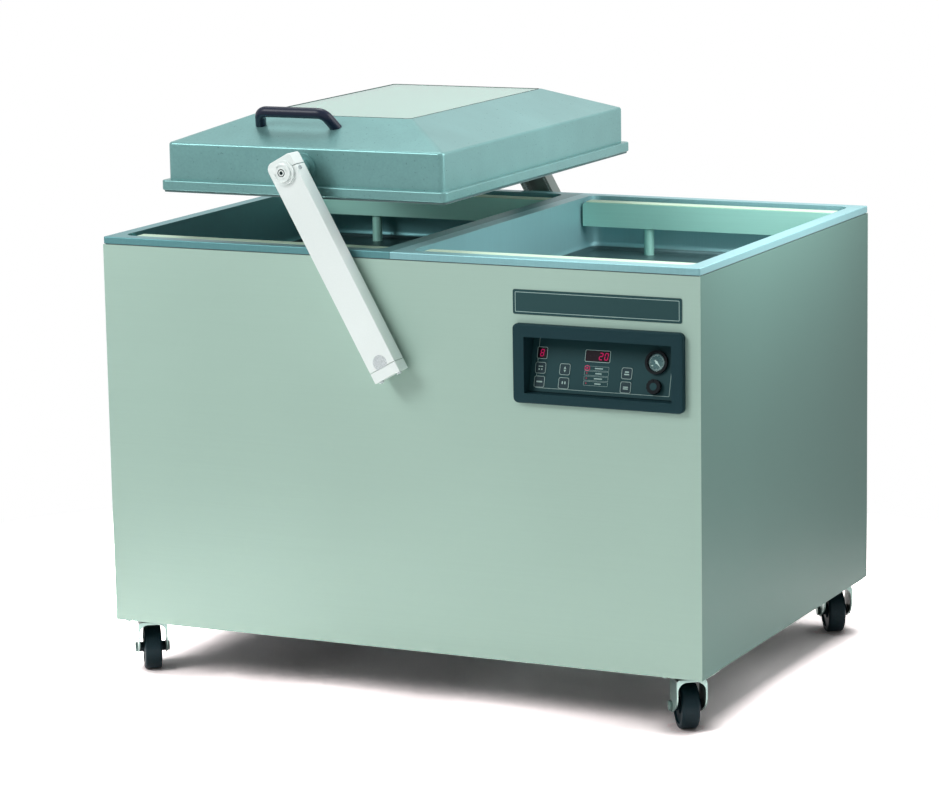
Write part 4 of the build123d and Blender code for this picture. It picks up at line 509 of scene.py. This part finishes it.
def needle(bm):
    """Pointer with its tail and hub, resting at the lower right of the dial."""
    ahead = Vector((cos(POINTER_REST), sin(POINTER_REST)))
    beside = Vector((-ahead.y, ahead.x))
    centre = Vector(GAUGE)
    tail = centre - ahead * 0.0062
    outline = [centre + ahead * 0.0150, centre + beside * 0.0019, tail + beside * 0.0013,
               tail - beside * 0.0013, centre - beside * 0.0019]
    prism(bm, control, [tuple(point) for point in outline], 0.0023, 0.0028)
    prism(bm, control, circle(0.0027, GAUGE, 24), 0.0026, 0.0031)
    prism(bm, control, circle(0.0014, GAUGE, 16), 0.0012, 0.0024)


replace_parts(piece("needle_pointer", needle, white_ink, "needle"), "gauge_needle")

knob_node = nodes["regulator_knob"]
KNOB_TOP = max(control.out.dot(knob_node.matrix_world @ corner.co - control.origin)
               for corner in knob_node.data.vertices)


def knob_face(bm):
    prism(bm, control, circle(0.0078, KNOB), KNOB_TOP - 0.0004, KNOB_TOP + INK)


piece("knob_face", knob_face, face_film, "knob")

# --- Badge plate: left bare, with its pale inset line ------------------------------------------------
front = Face((0, -HALF_DEPTH, 0), (1, 0, 0), (0, 0, 1))
BADGE = (0.4722, 0.8928)
BADGE_THICKNESS = 0.0015


def badge_line(bm):
    border(bm, front, 0.3665, 0.0420, 0.0012, (0.002, 0.001), BADGE, BADGE_THICKNESS,
           BADGE_THICKNESS + INK)


piece("badge_line", badge_line, pale_ink, "cabinet")


# --- Fasteners -------------------------------------------------------------------------------------
def socket_screw(bm, face, u, v, radius, height):
    """Cylinder-head screw with a hexagon socket, standing on a face."""
    ring(bm, face, circle(radius, (u, v), 24), circle(radius * 0.52, (u, v), 24), 0, height)
    prism(bm, face, circle(radius * 0.5, (u, v), 6), 0, height * 0.4)


def hex_bolt(bm, face, u, v, radius, height):
    """Hexagon-head bolt on a washer."""
    prism(bm, face, circle(radius * 1.35, (u, v), 24), 0, height * 0.22)
    prism(bm, face, circle(radius, (u, v), 6), height * 0.22, height)


def dome_screw(bm, face, u, v, radius, height):
    """Pan-head screw in rings."""
    for share, low, high in ((1.0, 0.0, 0.45), (0.86, 0.45, 0.75), (0.6, 0.75, 1.0)):
        prism(bm, face, circle(radius * share, (u, v), 20), height * low, height * high)


CASTER_X, CASTER_Y = 0.645, 0.44
PLATE_UNDERSIDE = 0.122
BOLT_X, BOLT_Y = 0.04, 0.03     # caster's middle to its bolts


def caster_bolts(bm):
    for x in (-CASTER_X, CASTER_X):
        for y in (-CASTER_Y, CASTER_Y):
            under = Face((x, y, PLATE_UNDERSIDE), (1, 0, 0), (0, -1, 0))
            for u in (-BOLT_X, BOLT_X):
                for v in (-BOLT_Y, BOLT_Y):
                    hex_bolt(bm, under, u, v, 0.0068, 0.006)


piece("caster_bolts", caster_bolts, zinc, "cabinet", 0.0004)

SCREW_LINE = 0.5425         # the arm screws' distance from the cabinet's middle
CLAMP_SCREW_SIDE = 0.0235   # clamp screws to either side of the shaft
SET_SCREW_BELOW = 0.006     # the set screw under the lid pivot
PIVOT_X = -ARM_LENGTH * sin(ARM_TILT)
PIVOT_Z = SHAFT_HEIGHT + ARM_LENGTH * cos(ARM_TILT)
pivot_node = nodes["lid_pivots"]
PIVOT_FACE = max(abs((pivot_node.matrix_world @ corner.co).y) for corner in pivot_node.data.vertices)
along_arm = Vector((-sin(ARM_TILT), 0, cos(ARM_TILT)))
across_arm = Vector((cos(ARM_TILT), 0, sin(ARM_TILT)))
for side, label in ((-1, "front"), (1, "rear")):
    shaft = Vector((0, side * SCREW_LINE, SHAFT_HEIGHT))
    foot = Face(shaft - along_arm * CAP_FOOT, across_arm * side, (0, 1, 0))
    edge = Face(shaft + across_arm * ARM_WIDTH / 2, (0, 1, 0), along_arm)
    pivot_end = Face((PIVOT_X, side * PIVOT_FACE, PIVOT_Z), (-side, 0, 0), (0, 0, 1))

    def clamp_screws(bm):
        for u in (-CLAMP_SCREW_SIDE, CLAMP_SCREW_SIDE):
            socket_screw(bm, foot, u, 0.0, 0.0055, 0.004)

    def set_screw(bm):
        socket_screw(bm, edge, 0.0, ARM_LENGTH - SET_SCREW_BELOW, 0.0045, 0.003)

    def pivot_shade(bm):
        """Painted shade: a dark ring and a dark socket hexagon in the end of the lid's pivot."""
        ring(bm, pivot_end, circle(0.0084), circle(0.0067), -0.0009, -0.0001)
        prism(bm, pivot_end, circle(0.0043, (0, 0), 6), -0.0030, -0.0008)

    piece(f"{label}_clamp_screws", clamp_screws, turned_steel, "swing_arms", 0.0003)
    piece(f"{label}_set_screw", set_screw, turned_steel, "swing_arms", 0.0003)
    piece(f"{label}_pivot_shade", pivot_shade, seal_rubber_and_shade, "lid")

rear = Face((0, HALF_DEPTH, 0), (-1, 0, 0), (0, 0, 1))


def panel_screws(bm):
    for u in (-0.68, -0.23, 0.23, 0.68):
        for v in (0.145, 0.945):
            dome_screw(bm, rear, u, v, 0.0045, 0.002)


piece("panel_screws", panel_screws, turned_steel, "cabinet")

# --- Lid: seal round the window --------------------------------------------------------------------
lid_top = Face((PIVOT_X, 0, PIVOT_Z - PIVOT_ABOVE_FLANGE + LID_HEIGHT), (1, 0, 0), (0, 1, 0))
# the seal is dark rubber all round; its extra width towards the left and the rear is painted shade of the
# window's recess
SEAL_SHADE_SHIFT = 0.0013         # the seal's line is wider towards the left and the rear


def window_seal(bm):
    inner = rounded(0.3699, 0.6535, 0.0070, (SEAL_SHADE_SHIFT, -SEAL_SHADE_SHIFT))
    ring(bm, lid_top, rounded(0.3745, 0.6581, 0.0082), inner, -0.003, 0.0006)


piece("window_seal", window_seal, seal_rubber_and_shade, "lid")

# --- Floor, light and camera -----------------------------------------------------------------------
AMBIENT = 0.26
FLOOR_ALBEDO = 0.72         # the floor that lights the object
SHOWN_FLOOR = 4.3           # the floor that the camera sees, before its shadow
SHOWN_RED = 1.12            # warmth of its shadow
SHADOW_DEPTH = 0.6          # how far the shown floor looks for what stands over it
SHADOW_SPAN = (0.50, 0.88)  # openness from the darkest shadow to none
SHADOW_LEAST = 0.17
LEFT_END = (-0.80, -0.15)   # stretch over which the shadow is lighter towards the left
LEFT_LIFT = 2.0
SHADOW_SQUEEZE = (0.85, 1.0, 0.0)    # what each axis adds to the distance from the middle
SHADOW_REACH = (1.1, 1.7)   # distance over which the shown floor turns into plain white
FLOOR_EDGE = 30             # half the floor's side


def background_rays(tree):
    """1 for rays that should see the plain white background."""
    path = tree.nodes.new("ShaderNodeLightPath")
    first = tree.nodes.new("ShaderNodeMath")
    first.operation = "MAXIMUM"
    tree.links.new(path.outputs["Is Camera Ray"], first.inputs[0])
    tree.links.new(path.outputs["Is Glossy Ray"], first.inputs[1])
    second = tree.nodes.new("ShaderNodeMath")
    second.operation = "MAXIMUM"
    tree.links.new(first.outputs["Value"], second.inputs[0])
    tree.links.new(path.outputs["Is Transmission Ray"], second.inputs[1])
    return second.outputs["Value"]


def mixed(tree, factor, one, other):
    """one shader where factor is 0, the other where it is 1."""
    made = tree.nodes.new("ShaderNodeMixShader")
    tree.links.new(factor, made.inputs["Fac"])
    tree.links.new(one, made.inputs[1])
    tree.links.new(other, made.inputs[2])
    return made.outputs["Shader"]


world = bpy.data.worlds.new("studio")
scene.world = world
world.use_nodes = True
studio = world.node_tree
ambient = studio.nodes["Background"]
ambient.inputs["Color"].default_value = (0.92, 1.0, 0.99, 1)
ambient.inputs["Strength"].default_value = AMBIENT
white = studio.nodes.new("ShaderNodeBackground")
white.inputs["Color"].default_value = (1, 1, 1, 1)
white.inputs["Strength"].default_value = 1.0
seen = mixed(studio, background_rays(studio), ambient.outputs["Background"], white.outputs["Background"])
studio.links.new(seen, studio.nodes["World Output"].inputs["Surface"])


def floor_material():
    """White floor that keeps the shadow near the object and is plain white further out; near the object
    the shadow is deepened by painted shadow, and painted lighter towards the left.
    """
    made = finish_material("floor", (FLOOR_ALBEDO, FLOOR_ALBEDO, FLOOR_ALBEDO, 1), 0.9, vary=0.004,
                           grain=3, cloud_vary=0.003, specular=0.0)
    tree = made.node_tree
    place = tree.nodes.new("ShaderNodeNewGeometry").outputs["Position"]

    # the shown floor, with painted shadow: darker where it is less open under the object, lighter to the
    # left
    shadow = ramp(tree, openness(tree, SHADOW_DEPTH, 16), *SHADOW_SPAN, SHADOW_LEAST, 1.0)
    level = scaled(tree, (SHOWN_FLOOR * SHOWN_RED, SHOWN_FLOOR, SHOWN_FLOOR), shadow)
    left_lift = ramp(tree, component(tree, place, "X"), *LEFT_END, LEFT_LIFT, 1.0)
    shown = tree.nodes.new("ShaderNodeBsdfDiffuse")
    tree.links.new(scaled(tree, level, left_lift), shown.inputs["Color"])

    # plain white further out
    far = tree.nodes.new("ShaderNodeEmission")
    far.inputs["Color"].default_value = (1, 1, 1, 1)
    far.inputs["Strength"].default_value = 1.0
    flat = tree.nodes.new("ShaderNodeVectorMath")
    flat.operation = "MULTIPLY"
    flat.inputs[1].default_value = SHADOW_SQUEEZE
    tree.links.new(place, flat.inputs[0])
    distance = tree.nodes.new("ShaderNodeVectorMath")
    distance.operation = "LENGTH"
    tree.links.new(flat.outputs["Vector"], distance.inputs[0])
    reach = ramp(tree, distance.outputs["Value"], *SHADOW_REACH, 0.0, 1.0, "SMOOTHSTEP")
    background = mixed(tree, reach, shown.outputs["BSDF"], far.outputs["Emission"])

    lighting = tree.nodes["Principled BSDF"].outputs["BSDF"]
    both = mixed(tree, background_rays(tree), lighting, background)
    tree.links.new(both, tree.nodes["Material Output"].inputs["Surface"])
    return made


floor_mesh = bpy.data.meshes.new("floor")
corners = [(x * FLOOR_EDGE, y * FLOOR_EDGE, 0) for x, y in ((-1, -1), (1, -1), (1, 1), (-1, 1))]
floor_mesh.from_pydata(corners, [], [(0, 1, 2, 3)])
floor = bpy.data.objects.new("floor", floor_mesh)
scene.collection.objects.link(floor)
floor_mesh.materials.append(floor_material())


def lamp(name, place, target, size, power):
    """A square soft light aimed at a point."""
    data = bpy.data.lights.new(name, "AREA")
    data.size = size
    data.energy = power
    made = bpy.data.objects.new(name, data)
    scene.collection.objects.link(made)
    made.location = place
    made.rotation_euler = (Vector(target) - Vector(place)).to_track_quat("-Z", "Y").to_euler()
    return made


lamp("key", (-2.6, -4.2, 4.0), (0, 0, 0.8), 2.6, 193)
lamp("top", (-0.6, 0.4, 4.2), (0, 0, 0.9), 1.8, 66)
lamp("fill", (3.2, -3.6, 2.2), (0.2, 0, 0.7), 2.4, 5.5)
low = lamp("low", (0.86, 0.0, 1.52), (0.05, 0, 1.06), 1.0, 13)
low.visible_camera = False

CAMERA_PLACE = (3.4223, -7.1587, 2.0712)
YAW, PITCH, ROLL = radians(-25.962), radians(10.650), radians(-0.992)
FOCAL_LENGTH, SENSOR_WIDTH = 138.52255591, 36.0     # millimetres
forward = Vector((sin(YAW) * cos(PITCH), cos(YAW) * cos(PITCH), -sin(PITCH)))
level_right = Vector((cos(YAW), -sin(YAW), 0))
level_up = level_right.cross(forward)
camera_right = cos(ROLL) * level_right + sin(ROLL) * level_up
camera_up = -sin(ROLL) * level_right + cos(ROLL) * level_up
camera_data = bpy.data.cameras.new("camera")
camera_data.sensor_width = SENSOR_WIDTH
camera_data.sensor_fit = "HORIZONTAL"
camera_data.lens = FOCAL_LENGTH
camera_data.clip_end = 100.0
camera = bpy.data.objects.new("camera", camera_data)
scene.collection.objects.link(camera)
turn = Matrix((camera_right, camera_up, -forward)).transposed().to_4x4()
camera.matrix_world = Matrix.Translation(CAMERA_PLACE) @ turn
scene.camera = camera
